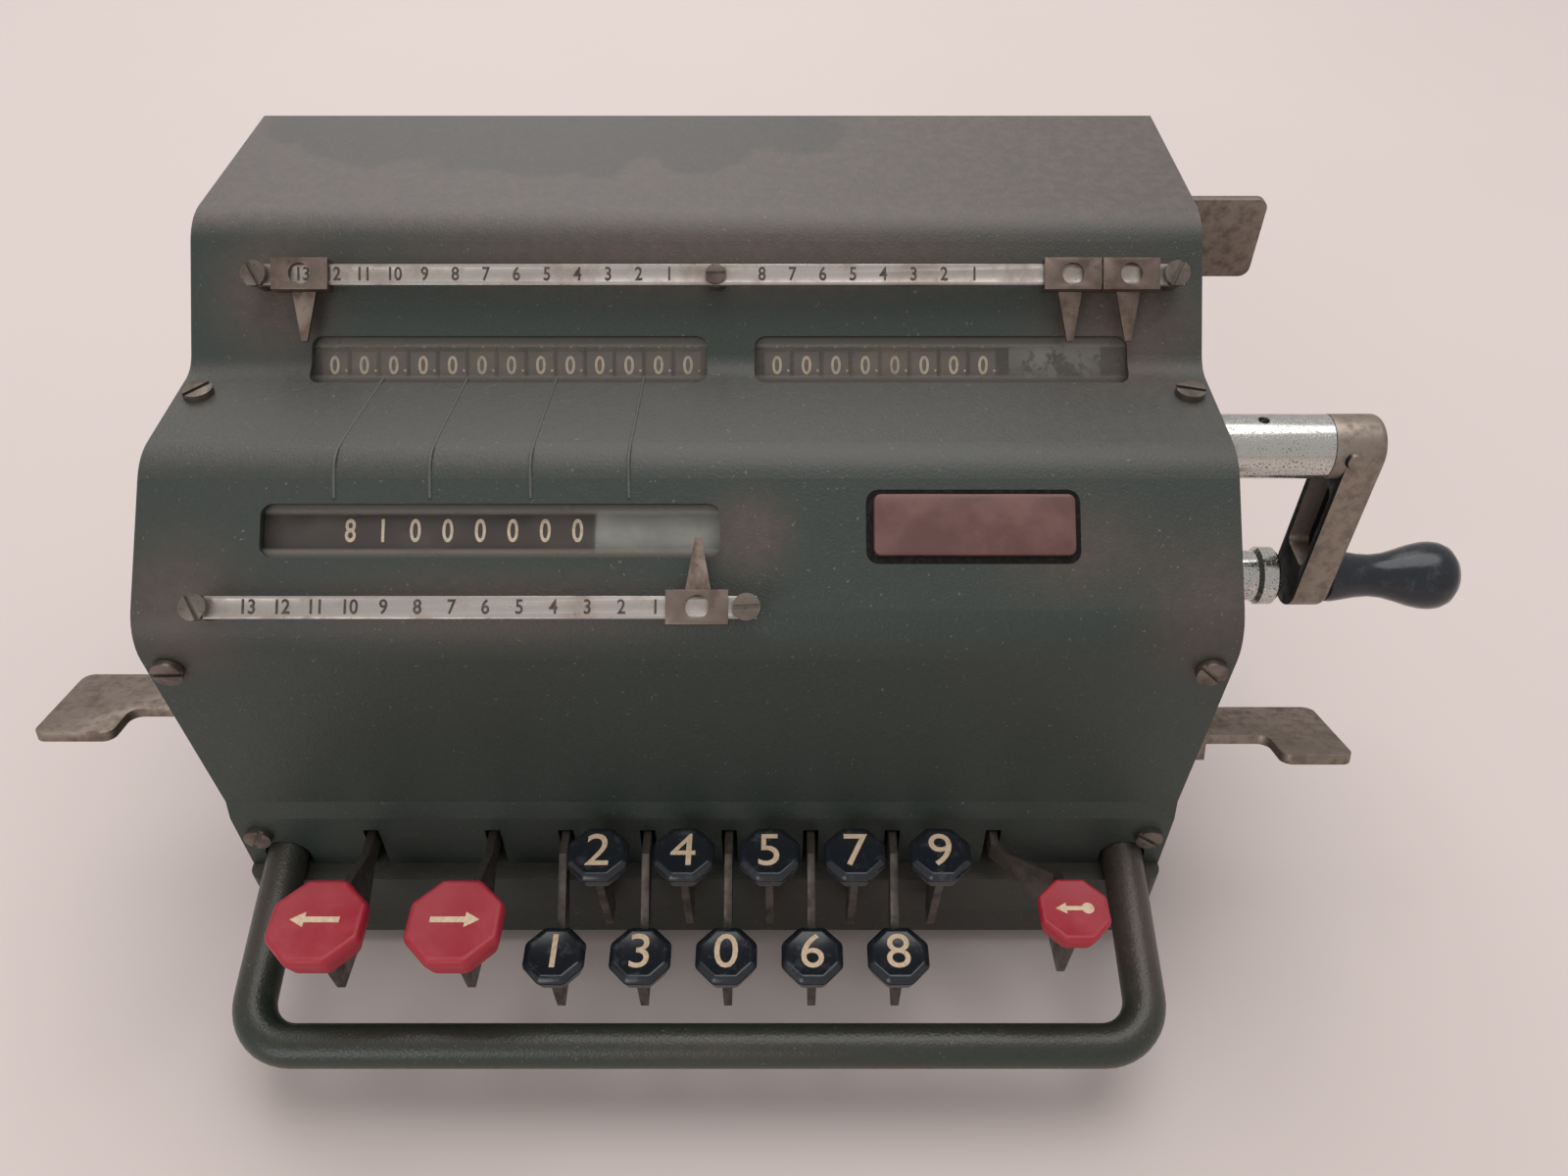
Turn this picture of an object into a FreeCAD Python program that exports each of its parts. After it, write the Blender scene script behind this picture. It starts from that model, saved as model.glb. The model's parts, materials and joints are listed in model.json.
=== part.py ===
import FreeCAD, Part
import math
import os

import Sketcher

# A hand-cranked calculator with a two-row ten-key keyboard, in millimetres.
# x runs to the right from the body's middle, y runs back from the front cover's lower band,
# z runs up from the table. Each piece's placement then moves that to the middle of the footprint.

DIMENSIONS = {
    # Body and sheet-metal cover; heights are above the base's top
    "body_width": 230.0,
    "body_depth": 140.0,
    "shelf_height": 108.7,
    "upper_height": 25.3,
    "top_front": 83.2,
    "shelf_front": 27.7,
    "panel_lean": 1.7,
    "upper_slope": 46.8,
    "lower_slope": 40.3,
    "band_height": 19.0,
    "band_step": 1.4,
    "step_height": 5.0,
    "sheet": 1.5,
    "bend_radius": 13.0,
    "hollow_radius": 8.0,
    "seat_gap": 0.2,
    "run_gap": 0.05,
    # Side plates
    "side_inset": 1.0,
    "side_thickness": 2.0,
    "lug_width": 5.6,
    "lug_depth": 7.0,
    "band_lug_depth": 4.2,
    "lug_height": 6.0,
    # Base
    "foot_height": 5.4,
    "foot_radius": 8.0,
    "foot_inset": 17.0,
    "pan_height": 11.2,
    "pan_floor": 2.0,
    "pan_wall": 2.5,
    "frame_height": 14.4,
    "frame_wall": 12.0,
    "frame_corner": 4.0,
    "ledge": 5.0,
    "seam": 0.5,
    # Front rail
    "rail_radius": 5.0,
    "rail_inset": 10.0,
    "rail_reach": 45.0,
    "rail_drop": 7.0,
    "rail_tilt": 13.4,
    "rail_root": 20.0,
    "rail_bend": 11.0,
    "rail_block": 6.5,
    # Screws
    "screw_head_radius": 3.3,
    "screw_head_height": 1.6,
    "screw_radius": 1.4,
    "screw_length": 6.0,
    "screw_hole_gap": 0.15,
    "screw_inset": 5.0,
    "shelf_screw_y": 50.0,
    "panel_screw_drop": 9.2,
    "band_screw_z": 12.0,
    "rear_screw_z": 62.0,
    # Windows in the two slopes, measured up each slope from its lower corner
    "register_low": -3.4,
    "register_high": 7.7,
    "accumulator_left": -87.5,
    "accumulator_right": 2.5,
    "counter_left": 13.2,
    "counter_right_inset": 17.0,
    "setting_low": 17.2,
    "setting_high": 28.5,
    "setting_left": -89.0,
    "setting_right": 6.7,
    "window_corner": 2.6,
    "window_lap": 3.5,
    "window_thickness": 0.8,
    # Bare plate in its recess
    "plate_middle": 59.5,
    "plate_rise": 24.0,
    "plate_width": 42.0,
    "plate_height": 13.0,
    "plate_thickness": 1.8,
    "plate_recess": 0.8,
    "plate_corner": 1.6,
    # Marker bars and markers
    "bar_standoff": 4.4,
    "bar_thickness": 1.8,
    "bar_height": 4.6,
    "bar_end": 3.4,
    "bar_post_radius": 2.4,
    "upper_bar_rise": 20.2,
    "upper_bar_left_inset": 17.4,
    "upper_bar_right_inset": 8.0,
    "lower_bar_rise": 6.3,
    "lower_bar_left_inset": 16.3,
    "lower_bar_right": 12.4,
    "marker_width": 12.6,
    "marker_height": 7.0,
    "marker_wall": 0.9,
    "marker_gap": 0.12,
    "marker_hole": 2.4,
    "pointer_length": 11.0,
    "pointer_root": 5.6,
    "pointer_tip": 1.8,
    "marker_stop": 10.0,
    "marker_spacing": 13.0,
    # Registers
    "digit_pitch": 6.8,
    "wheel_radius": 10.0,
    "wheel_width": 6.1,
    "register_rise": 1.6,
    "register_depth": 14.4,
    "register_shaft_radius": 2.5,
    "accumulator_first": -83.9,
    "counter_first": 18.3,
    # Rotor and its drive
    "rotor_rise": 23.2,
    "rotor_depth": 32.5,
    "rotor_shaft_radius": 3.5,
    "drum_radius": 28.0,
    "drum_core": 24.5,
    "drum_left": -90.0,
    "drum_length": 69.7,
    "drum_first": -78.6,
    "drum_pitch": 6.86,
    "sleeve_radius": 27.2,
    "sleeve_length": 50.0,
    "drum_band_angle": 150.0,
    "pin_width": 2.4,
    "pin_rise": 2.0,
    "gear_module": 1.0,
    "gear_width": 8.0,
    "gear_x": 92.0,
    "drive_angle": 49.3,
    # Crank
    "crank_shaft_radius": 4.0,
    "bearing_radius": 7.5,
    "bearing_length": 31.4,
    "bearing_flange": 9.0,
    "flange_thickness": 1.2,
    "spigot_radius": 6.0,
    "oil_hole_radius": 1.3,
    "arm_length": 41.4,
    "arm_width": 12.0,
    "arm_offset": 3.0,
    "arm_wall": 2.0,
    "arm_recess": 5.0,
    "arm_rounding": 1.8,
    "spindle_radius": 2.6,
    "handle_length": 34.0,
    "handle_collar": 6.7,
    "handle_waist": 5.4,
    "handle_radius": 8.7,
    "stud_radius": 6.4,
    "stud_collar": 7.4,
    "stud_length": 31.0,
    "collar_length": 5.6,
    # Clearing levers
    "lever_thickness": 2.4,
    "lever_gap": 2.0,
    "lever_hub_radius": 7.0,
    "lever_pivot_radius": 3.0,
    "lever_pivot_head": 5.0,
    "low_lever_y": 55.0,
    "left_lever_z": 33.0,
    "left_lever_tilt": 15.7,
    "right_lever_z": 20.0,
    "right_lever_tilt": 23.6,
    "top_lever_y": 107.5,
    "top_lever_z": 78.0,
    "left_tab_start": 32.0,
    "right_tab_start": 40.0,
    "low_tab_depth": 25.0,
    "low_tab_reach": 32.0,
    "low_tab_neck": 15.0,
    "low_tab_waist": 14.0,
    "tab_corner": 2.6,
    "top_tab_start": 27.0,
    "top_tab_end": 48.0,
    "top_tab_reach": 21.0,
    # Keys; heights are above the base's top
    "key_shaft_y": 72.0,
    "key_shaft_z": 10.0,
    "key_shaft_radius": 2.0,
    "key_lever_thickness": 2.0,
    "key_lever_bottom": 7.2,
    "key_lever_top": 13.0,
    "key_tail": 5.0,
    "key_spacing": 10.07,
    "keyboard_middle": 11.4,
    "key_slot_gap": 0.9,
    "key_slot_top": 14.2,
    "key_cap": 15.0,
    "key_cap_height": 5.5,
    "key_cap_bevel": 1.3,
    "key_tang": 2.6,
    "key_tang_half": 3.6,
    "back_row_y": 11.7,
    "back_row_top": 22.7,
    "back_row_foot": 8.0,
    "front_row_y": 29.0,
    "front_row_top": 7.0,
    "front_row_foot": 12.0,
    "red_cap": 21.5,
    "red_cap_height": 7.0,
    "red_key_y": 34.0,
    "red_key_top": 30.0,
    "red_key_tip": 4.5,
    "shift_left_x": -82.0,
    "shift_right_x": -52.0,
    "clear_key_slot": 71.6,
    "clear_key_x": 84.2,
    "clear_key_y": 30.0,
    "clear_key_top": 28.0,
    "clear_cap": 16.0,
}

GEAR_TEETH = 24
ACCUMULATOR_DIGITS = 13
COUNTER_DIGITS = 8
DRUM_DIGITS = 9
DRUM_PINS = 4
SPINDLE_SHARE = 0.8
WHEEL_SIDES = 10
WHEEL_HALF_ANGLE = 180 / WHEEL_SIDES
CAP_SIDES = 8
CAP_HALF_ANGLE = 180 / CAP_SIDES
KEY_ORDER = ("one", "two", "three", "four", "zero", "five", "six", "seven", "eight", "nine")
MARGIN = 1.0

doc = FreeCAD.newDocument("calculator")
sheet_cells = doc.addObject("Spreadsheet::Sheet", "Dims")
pieces = []


class Size:
    """A dimension: its number, and the formula that ties it to the sheet's cells."""

    def __init__(self, number, formula):
        self.number = number
        self.formula = formula

    def __add__(self, other):
        other = as_size(other)
        return Size(self.number + other.number, f"({self.formula} + {other.formula})")

    def __sub__(self, other):
        other = as_size(other)
        return Size(self.number - other.number, f"({self.formula} - {other.formula})")

    def __mul__(self, other):
        other = as_size(other)
        return Size(self.number * other.number, f"({self.formula} * {other.formula})")

    def __truediv__(self, other):
        other = as_size(other)
        return Size(self.number / other.number, f"({self.formula} / {other.formula})")

    def __neg__(self):
        return Size(-self.number, f"(0 - {self.formula})")

    def __radd__(self, other):
        return as_size(other) + self

    def __rsub__(self, other):
        return as_size(other) - self

    def __rmul__(self, other):
        return as_size(other) * self


def as_size(value):
    if isinstance(value, Size):
        return value
    return Size(float(value), f"({float(value)!r})")


def sine(angle):
    return Size(math.sin(math.radians(angle.number)), f"sin({angle.formula})")


def cosine(angle):
    return Size(math.cos(math.radians(angle.number)), f"cos({angle.formula})")


def tangent(angle):
    return Size(math.tan(math.radians(angle.number)), f"tan({angle.formula})")


class Dimensions:
    """Holds one Size for each cell of the sheet, by the cell's alias."""

    def __init__(self, table):
        for row, (alias, number) in enumerate(table.items(), start=1):
            sheet_cells.set(f"A{row}", alias)
            sheet_cells.set(f"B{row}", str(number))
            sheet_cells.setAlias(f"B{row}", alias)
            setattr(self, alias, Size(number, f"Dims.{alias}"))


d = Dimensions(DIMENSIONS)
doc.recompute()

# Places worked out from the dimensions
half_width = d.body_width / 2
cover_height = d.shelf_height + d.upper_height
screw_offset = half_width - d.screw_inset
rail_offset = half_width - d.rail_inset
counter_right = half_width - d.counter_right_inset
upper_bar_left = d.upper_bar_left_inset - half_width
upper_bar_right = half_width - d.upper_bar_right_inset
lower_bar_left = d.lower_bar_left_inset - half_width
deck = d.foot_height + d.pan_height + d.frame_height
side_outside = half_width - d.side_inset
side_inside = side_outside - d.side_thickness
shelf_back = d.top_front - d.upper_height / tangent(d.upper_slope)
panel_top = d.shelf_height - (d.shelf_front + d.panel_lean) * tangent(d.lower_slope)
panel_screw_z = panel_top - d.panel_screw_drop
lever_inside = side_outside + d.lever_gap
lever_outside = lever_inside + d.lever_thickness
arm_inside = side_outside + d.bearing_length + d.seat_gap
arm_outside = arm_inside + d.arm_width
handle_start = arm_outside + d.seat_gap
reach_right = handle_start + d.handle_length
reach_left = lever_outside + d.low_tab_reach
shift_x = (reach_left - reach_right) / 2
shift_y = (d.rail_reach + d.rail_radius - d.body_depth) / 2
bar_front = d.bar_standoff + d.bar_thickness


class Slope:
    """A sloped face of the cover: places are given along x, up the slope, and out from the sheet."""

    def __init__(self, angle, low_y, low_z):
        self.angle = angle
        self.low_y = low_y
        self.low_z = low_z

    def at(self, x, rise, out):
        y = self.low_y + rise * cosine(self.angle) - out * sine(self.angle)
        z = self.low_z + rise * sine(self.angle) + out * cosine(self.angle)
        return (x, y, z)


upper = Slope(d.upper_slope, shelf_back, deck + d.shelf_height)
lower = Slope(d.lower_slope, -d.panel_lean, deck + panel_top)
_, register_y, register_z = upper.at(0, as_size(d.register_rise), -d.register_depth)
_, rotor_y, rotor_z = lower.at(0, as_size(d.rotor_rise), -d.rotor_depth)
gear_distance = d.gear_module * GEAR_TEETH
crank_y = rotor_y + gear_distance * cosine(d.drive_angle)
crank_z = rotor_z + gear_distance * sine(d.drive_angle)


# Helpers that bind sizes and places

def bind(thing, path, value):
    value = as_size(value)
    thing.setExpression(path, value.formula)


def put_at(thing, place):
    for axis, value in zip("xyz", place):
        bind(thing, f"Placement.Base.{axis}", value)


def settle(thing, label, at=(0, 0, 0), turn=None):
    """Names a finished piece and moves it into the part's frame, turned about x."""
    thing.Label = label
    x, y, z = (as_size(value) for value in at)
    if turn is not None:
        thing.Placement = FreeCAD.Placement(FreeCAD.Vector(), FreeCAD.Rotation(FreeCAD.Vector(1, 0, 0), 30))
        bind(thing, "Placement.Rotation.Angle", turn)
    put_at(thing, (x + shift_x, y + shift_y, z))
    pieces.append(thing)
    return thing


AXIS_TURN = {
    "x": FreeCAD.Rotation(FreeCAD.Vector(0, 1, 0), 90),
    "y": FreeCAD.Rotation(FreeCAD.Vector(1, 0, 0), -90),
    "z": FreeCAD.Rotation(),
}


def box(name, corner, size):
    thing = doc.addObject("Part::Box", name)
    for path, value in zip(("Length", "Width", "Height"), size):
        bind(thing, path, value)
    put_at(thing, corner)
    return thing


def cylinder(name, start, radius, length, axis, turn=None):
    """A round bar from its start along an axis, or along z turned about x."""
    thing = doc.addObject("Part::Cylinder", name)
    bind(thing, "Radius", radius)
    bind(thing, "Height", length)
    thing.Placement = FreeCAD.Placement(FreeCAD.Vector(), AXIS_TURN[axis])
    if turn is not None:
        thing.Placement = FreeCAD.Placement(FreeCAD.Vector(), FreeCAD.Rotation(FreeCAD.Vector(1, 0, 0), 30))
        bind(thing, "Placement.Rotation.Angle", turn)
    put_at(thing, start)
    return thing


def sloped_box(name, slope, corner, size):
    thing = box(name, slope.at(*corner), size)
    thing.Placement.Rotation = FreeCAD.Rotation(FreeCAD.Vector(1, 0, 0), 30)
    bind(thing, "Placement.Rotation.Angle", slope.angle)
    return thing


def fuse(name, parts):
    thing = doc.addObject("Part::MultiFuse", name)
    thing.Shapes = parts
    return thing


def group(name, parts):
    thing = doc.addObject("Part::Compound", name)
    thing.Links = parts
    return thing


def cut(name, base, tools):
    thing = doc.addObject("Part::Cut", name)
    thing.Base = base
    thing.Tool = tools[0] if len(tools) == 1 else group(f"{name}_tools", tools)
    return thing


# Helpers for sketched bodies

def new_body(name):
    return doc.addObject("PartDesign::Body", name)


def origin_item(body, role):
    return [item for item in body.Origin.OriginFeatures if item.Role == role][0]


def new_sketch(body, name, role, lift=0):
    sketch = body.newObject("Sketcher::SketchObject", name)
    sketch.AttachmentSupport = [(origin_item(body, role), "")]
    sketch.MapMode = "FlatFace"
    bind(sketch, "AttachmentOffset.Base.z", lift)
    return sketch


def slope_sketch(body, name, slope, lift):
    """A sketch that lies on a slope: its x is the part's x, and its y runs up the slope."""
    sketch = new_sketch(body, name, "XY_Plane")
    turn = FreeCAD.Rotation(FreeCAD.Vector(1, 0, 0), 30)
    sketch.AttachmentOffset = FreeCAD.Placement(FreeCAD.Vector(), turn)
    _, y, z = slope.at(0, as_size(0), as_size(lift))
    bind(sketch, "AttachmentOffset.Rotation.Angle", slope.angle)
    bind(sketch, "AttachmentOffset.Base.y", y)
    bind(sketch, "AttachmentOffset.Base.z", z)
    return sketch


def measure(sketch, kind, value, *references):
    value = as_size(value)
    index = sketch.addConstraint(Sketcher.Constraint(kind, *references, value.number))
    sketch.setExpression(f"Constraints[{index}]", value.formula)


def fix_point(sketch, item, end, x, y):
    measure(sketch, "DistanceX", x, -1, 1, item, end)
    measure(sketch, "DistanceY", y, -1, 1, item, end)


def draw_polygon(sketch, points):
    points = [(as_size(x), as_size(y)) for x, y in points]
    corners = [FreeCAD.Vector(x.number, y.number, 0) for x, y in points]
    lines = []
    for start, end in zip(corners, corners[1:] + corners[:1]):
        lines.append(sketch.addGeometry(Part.LineSegment(start, end)))
    for line, following in zip(lines, lines[1:] + lines[:1]):
        sketch.addConstraint(Sketcher.Constraint("Coincident", line, 2, following, 1))
    for line, (x, y) in zip(lines, points):
        fix_point(sketch, line, 1, x, y)


def draw_circle(sketch, x, y, radius):
    x, y, radius = as_size(x), as_size(y), as_size(radius)
    middle = FreeCAD.Vector(x.number, y.number, 0)
    item = sketch.addGeometry(Part.Circle(middle, FreeCAD.Vector(0, 0, 1), radius.number))
    fix_point(sketch, item, 3, x, y)
    measure(sketch, "Radius", radius, item)


def draw_rounded(sketch, left, right, low, high, radius):
    """A rectangle with four round corners: each corner's arc is held by its middle and radius."""
    left, right, low, high = (as_size(value) for value in (left, right, low, high))
    radius = as_size(radius)
    middles = (
        (right - radius, high - radius, 0),
        (left + radius, high - radius, 90),
        (left + radius, low + radius, 180),
        (right - radius, low + radius, 270),
    )
    arcs = []
    for x, y, start in middles:
        circle = Part.Circle(FreeCAD.Vector(x.number, y.number, 0), FreeCAD.Vector(0, 0, 1), radius.number)
        arc = Part.ArcOfCircle(circle, math.radians(start), math.radians(start + 90))
        arcs.append(sketch.addGeometry(arc))
        fix_point(sketch, arcs[-1], 3, x, y)
        measure(sketch, "Radius", radius, arcs[-1])
    join_arcs(sketch, arcs)


def draw_obround(sketch, low, high, radius):
    """A slot along y with half-round ends about two middles."""
    low, high = as_size(low), as_size(high)
    arcs = []
    for middle, start in ((high, 0), (low, 180)):
        circle = Part.Circle(FreeCAD.Vector(0, middle.number, 0), FreeCAD.Vector(0, 0, 1), radius.number)
        arc = Part.ArcOfCircle(circle, math.radians(start), math.radians(start + 180))
        arcs.append(sketch.addGeometry(arc))
        fix_point(sketch, arcs[-1], 3, 0, middle)
        measure(sketch, "Radius", radius, arcs[-1])
    join_arcs(sketch, arcs)


def join_arcs(sketch, arcs):
    """Closes a ring of arcs with a tangent line from each one's end to the next one's start."""
    for arc, following in zip(arcs, arcs[1:] + arcs[:1]):
        line = sketch.addGeometry(Part.LineSegment(sketch.getPoint(arc, 2), sketch.getPoint(following, 1)))
        sketch.addConstraint(Sketcher.Constraint("Tangent", arc, 2, line, 1))
        sketch.addConstraint(Sketcher.Constraint("Tangent", line, 2, following, 1))


def pad(body, sketch, length):
    feature = body.newObject("PartDesign::Pad", f"{sketch.Name}_pad")
    feature.Profile = sketch
    bind(feature, "Length", length)
    return feature


def pocket(body, sketch, length):
    feature = body.newObject("PartDesign::Pocket", f"{sketch.Name}_pocket")
    feature.Profile = sketch
    bind(feature, "Length", length)
    return feature


def revolve(body, sketch, role):
    feature = body.newObject("PartDesign::Revolution", f"{sketch.Name}_turned")
    feature.Profile = sketch
    feature.ReferenceAxis = (origin_item(body, role), [""])
    feature.Angle = 360
    return feature


def edges_at(feature, corners, axis):
    """Names the straight edges along one axis that stand at the given corners of an outline."""
    along = "xyz".index(axis)
    first, second = [way for way in range(3) if way != along]
    names = []
    for index, edge in enumerate(feature.Shape.Edges, start=1):
        ends = [vertex.Point for vertex in edge.Vertexes]
        if len(ends) != 2 or abs(ends[0][along] - ends[1][along]) < MARGIN:
            continue
        for a, b in corners:
            if math.hypot(ends[0][first] - a.number, ends[0][second] - b.number) < 0.01:
                names.append(f"Edge{index}")
    return names


def round_edges(body, feature, name, corners, radius, axis="x"):
    doc.recompute()
    fillet = body.newObject("PartDesign::Fillet", name)
    fillet.Base = (feature, edges_at(feature, corners, axis))
    bind(fillet, "Radius", radius)
    return fillet


def faces_towards(feature, directions):
    """Names the flat faces whose outward normals are the given directions."""
    names = []
    for index, face in enumerate(feature.Shape.Faces, start=1):
        if not isinstance(face.Surface, Part.Plane):
            continue
        normal = face.normalAt(0, 0)
        if any((normal - FreeCAD.Vector(*way)).Length < 0.001 for way in directions):
            names.append(f"Face{index}")
    return names


# Front cover: one bent sheet, from the band above the base to the top

def cover_corners():
    return {
        "band_top": (as_size(0), deck + d.band_height),
        "panel_foot": (as_size(d.band_step), deck + d.band_height + d.step_height),
        "panel_top": (-d.panel_lean, deck + panel_top),
        "shelf_front": (d.shelf_front, deck + d.shelf_height),
        "shelf_back": (shelf_back, deck + d.shelf_height),
        "top_front": (d.top_front, deck + cover_height),
    }


key_columns = [d.keyboard_middle + d.key_spacing * (index - (len(KEY_ORDER) - 1) / 2)
               for index in range(len(KEY_ORDER))]


def front_cover():
    body = new_body("front_cover")
    corners = cover_corners()
    back = d.body_depth - d.sheet - d.seat_gap
    bottom = deck + d.seat_gap
    outline = new_sketch(body, "cover_outline", "YZ_Plane", -half_width)
    draw_polygon(outline, [(0, bottom), *corners.values(), (back, deck + cover_height), (back, bottom)])
    block = pad(body, outline, d.body_width)
    bends = [corners[name] for name in ("panel_top", "shelf_front", "top_front")]
    bent = round_edges(body, block, "cover_bends", bends, d.bend_radius)
    hollow = round_edges(body, bent, "cover_hollow", [corners["shelf_back"]], d.hollow_radius)
    doc.recompute()
    shell = body.newObject("PartDesign::Thickness", "cover_shell")
    shell.Base = (hollow, faces_towards(hollow, [(1, 0, 0), (-1, 0, 0), (0, 1, 0), (0, 0, -1)]))
    shell.Reversed = True
    shell.Join = 1
    bind(shell, "Value", d.sheet)

    hole = d.screw_radius + d.screw_hole_gap
    windows = slope_sketch(body, "register_openings", upper, d.hollow_radius)
    for left, right in ((d.accumulator_left, d.accumulator_right), (d.counter_left, counter_right)):
        draw_rounded(windows, left, right, d.register_low, d.register_high, d.window_corner)
    for x in upper_posts():
        draw_circle(windows, x, d.upper_bar_rise, hole)
    pocket(body, windows, d.hollow_radius * 2)

    setting = slope_sketch(body, "setting_opening", lower, d.sheet)
    draw_rounded(setting, d.setting_left, d.setting_right, d.setting_low, d.setting_high, d.window_corner)
    for x in lower_posts():
        draw_circle(setting, x, d.lower_bar_rise, hole)
    pocket(body, setting, d.sheet * 4)

    recess = slope_sketch(body, "plate_recess", lower, d.sheet)
    draw_rounded(recess, *plate_edges(d.seat_gap), d.plate_corner + d.seat_gap)
    pocket(body, recess, d.sheet + d.plate_recess)

    shelf_holes = new_sketch(body, "shelf_holes", "XY_Plane", deck + d.shelf_height + d.sheet)
    front = new_sketch(body, "front_openings", "XZ_Plane", d.panel_lean + d.sheet)
    for side in (-1, 1):
        draw_circle(shelf_holes, side * screw_offset, d.shelf_screw_y, hole)
        draw_circle(front, side * screw_offset, deck + panel_screw_z, hole)
        draw_circle(front, side * screw_offset, deck + d.band_screw_z, hole)
        rail_x = side * rail_offset
        notch = d.rail_radius + d.seat_gap * 3
        top = rail_z_at(0) + notch
        draw_rounded(front, rail_x - notch, rail_x + notch, bottom - notch, top, notch - d.seat_gap)
    slot_half = d.key_lever_thickness / 2 + d.key_slot_gap
    for x in [*key_columns, d.shift_left_x, d.shift_right_x, d.clear_key_slot]:
        draw_polygon(front, [
            (x - slot_half, bottom - d.sheet),
            (x + slot_half, bottom - d.sheet),
            (x + slot_half, deck + d.key_slot_top),
            (x - slot_half, deck + d.key_slot_top),
        ])
    pocket(body, shelf_holes, d.sheet * 4)
    pocket(body, front, d.panel_lean + d.band_step + d.sheet * 4)
    settle(body, "front_cover")


def plate_edges(grow):
    half_width_of_plate = d.plate_width / 2 + grow
    half_height_of_plate = d.plate_height / 2 + grow
    return (
        d.plate_middle - half_width_of_plate,
        d.plate_middle + half_width_of_plate,
        d.plate_rise - half_height_of_plate,
        d.plate_rise + half_height_of_plate,
    )


def name_plate():
    body = new_body("name_plate")
    outline = slope_sketch(body, "plate_outline", lower, -d.plate_recess)
    draw_rounded(outline, *plate_edges(0), d.plate_corner)
    pad(body, outline, d.plate_thickness)
    settle(body, "name_plate")


def rear_cover():
    body = new_body("rear_cover")
    outline = new_sketch(body, "rear_outline", "YZ_Plane", -half_width)
    inner = d.body_depth - d.sheet
    flange_top = deck + cover_height - d.sheet - d.seat_gap
    flange_front = inner - d.bend_radius
    draw_polygon(outline, [
        (d.body_depth, deck + d.seat_gap),
        (d.body_depth, flange_top),
        (flange_front, flange_top),
        (flange_front, flange_top - d.sheet),
        (inner, flange_top - d.sheet),
        (inner, deck + d.seat_gap),
    ])
    pad(body, outline, d.body_width)
    holes = new_sketch(body, "rear_holes", "XZ_Plane", MARGIN - d.body_depth + d.sheet)
    for side in (-1, 1):
        draw_circle(holes, side * screw_offset, deck + d.rear_screw_z, d.screw_radius + d.screw_hole_gap)
    pocket(body, holes, d.sheet * 3)
    settle(body, "rear_cover")


# Side plates: they follow the cover's inside and carry the shafts

def side_outline():
    inset = d.sheet + d.seat_gap
    front = d.band_step + inset
    slope_low = panel_top - inset / cosine(d.lower_slope)
    lower_front = slope_low + (front + d.panel_lean) * tangent(d.lower_slope)
    shelf = d.shelf_height - inset
    shelf_start = (shelf - slope_low) / tangent(d.lower_slope) - d.panel_lean
    slope_lift = inset / cosine(d.upper_slope) - inset
    shelf_end = shelf_back + slope_lift / tangent(d.upper_slope)
    top = cover_height - inset - d.sheet - d.seat_gap
    top_start = shelf_back + (top - d.shelf_height + inset / cosine(d.upper_slope)) / tangent(d.upper_slope)
    back = d.body_depth - inset
    return [
        (front, deck),
        (front, deck + lower_front),
        (shelf_start, deck + shelf),
        (shelf_end, deck + shelf),
        (top_start, deck + top),
        (back, deck + top),
        (back, deck),
    ]


def side_plate(label, side, bores):
    start = side_inside if side > 0 else -side_outside
    outline_points = side_outline()
    body = new_body(f"{label}_sheet")
    outline = new_sketch(body, f"{label}_outline", "YZ_Plane", start)
    draw_polygon(outline, outline_points)
    plate = pad(body, outline, d.side_thickness)
    corners = [outline_points[i] for i in (1, 2, 4)]
    round_edges(body, plate, f"{label}_corners", corners, d.bend_radius - d.sheet)

    inner_side = side_inside - d.lug_width
    lug_start = inner_side if side > 0 else -side_inside
    front = outline_points[0][0]
    back = outline_points[-1][0]
    shelf_low = outline_points[2][1] - d.lug_height
    lug_size = (d.lug_width, d.lug_depth, d.lug_height)
    band_lug_size = (d.lug_width, d.band_lug_depth, d.lug_height)
    rear_lug_z = deck + d.rear_screw_z - d.lug_height / 2
    lugs = [
        box(f"{label}_shelf_lug", (lug_start, d.shelf_screw_y - d.lug_depth / 2, shelf_low), lug_size),
        box(f"{label}_panel_lug", (lug_start, front, deck + panel_screw_z - d.lug_height / 2), lug_size),
        box(f"{label}_band_lug", (lug_start, front, deck + d.band_screw_z - d.screw_radius), band_lug_size),
        box(f"{label}_rear_lug", (lug_start, back - d.lug_depth, rear_lug_z), lug_size),
    ]
    tools = []
    for index, (y, z, radius) in enumerate(bores):
        through = d.side_thickness + MARGIN * 2
        tools.append(cylinder(f"{label}_bore_{index}", (start - MARGIN, y, z), radius, through, "x"))
    hole = d.screw_radius + d.run_gap
    x = side * screw_offset
    for name, where, axis in (
        ("shelf", (x, d.shelf_screw_y, shelf_low - MARGIN), "z"),
        ("panel", (x, front - MARGIN, deck + panel_screw_z), "y"),
        ("band", (x, front - MARGIN, deck + d.band_screw_z), "y"),
        ("rear", (x, back - d.lug_depth - MARGIN, deck + d.rear_screw_z), "y"),
    ):
        tools.append(cylinder(f"{label}_{name}_hole", where, hole, d.lug_depth + MARGIN * 3, axis))
    settle(cut(f"{label}_plate", fuse(f"{label}_with_lugs", [body, *lugs]), tools), label)


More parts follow.
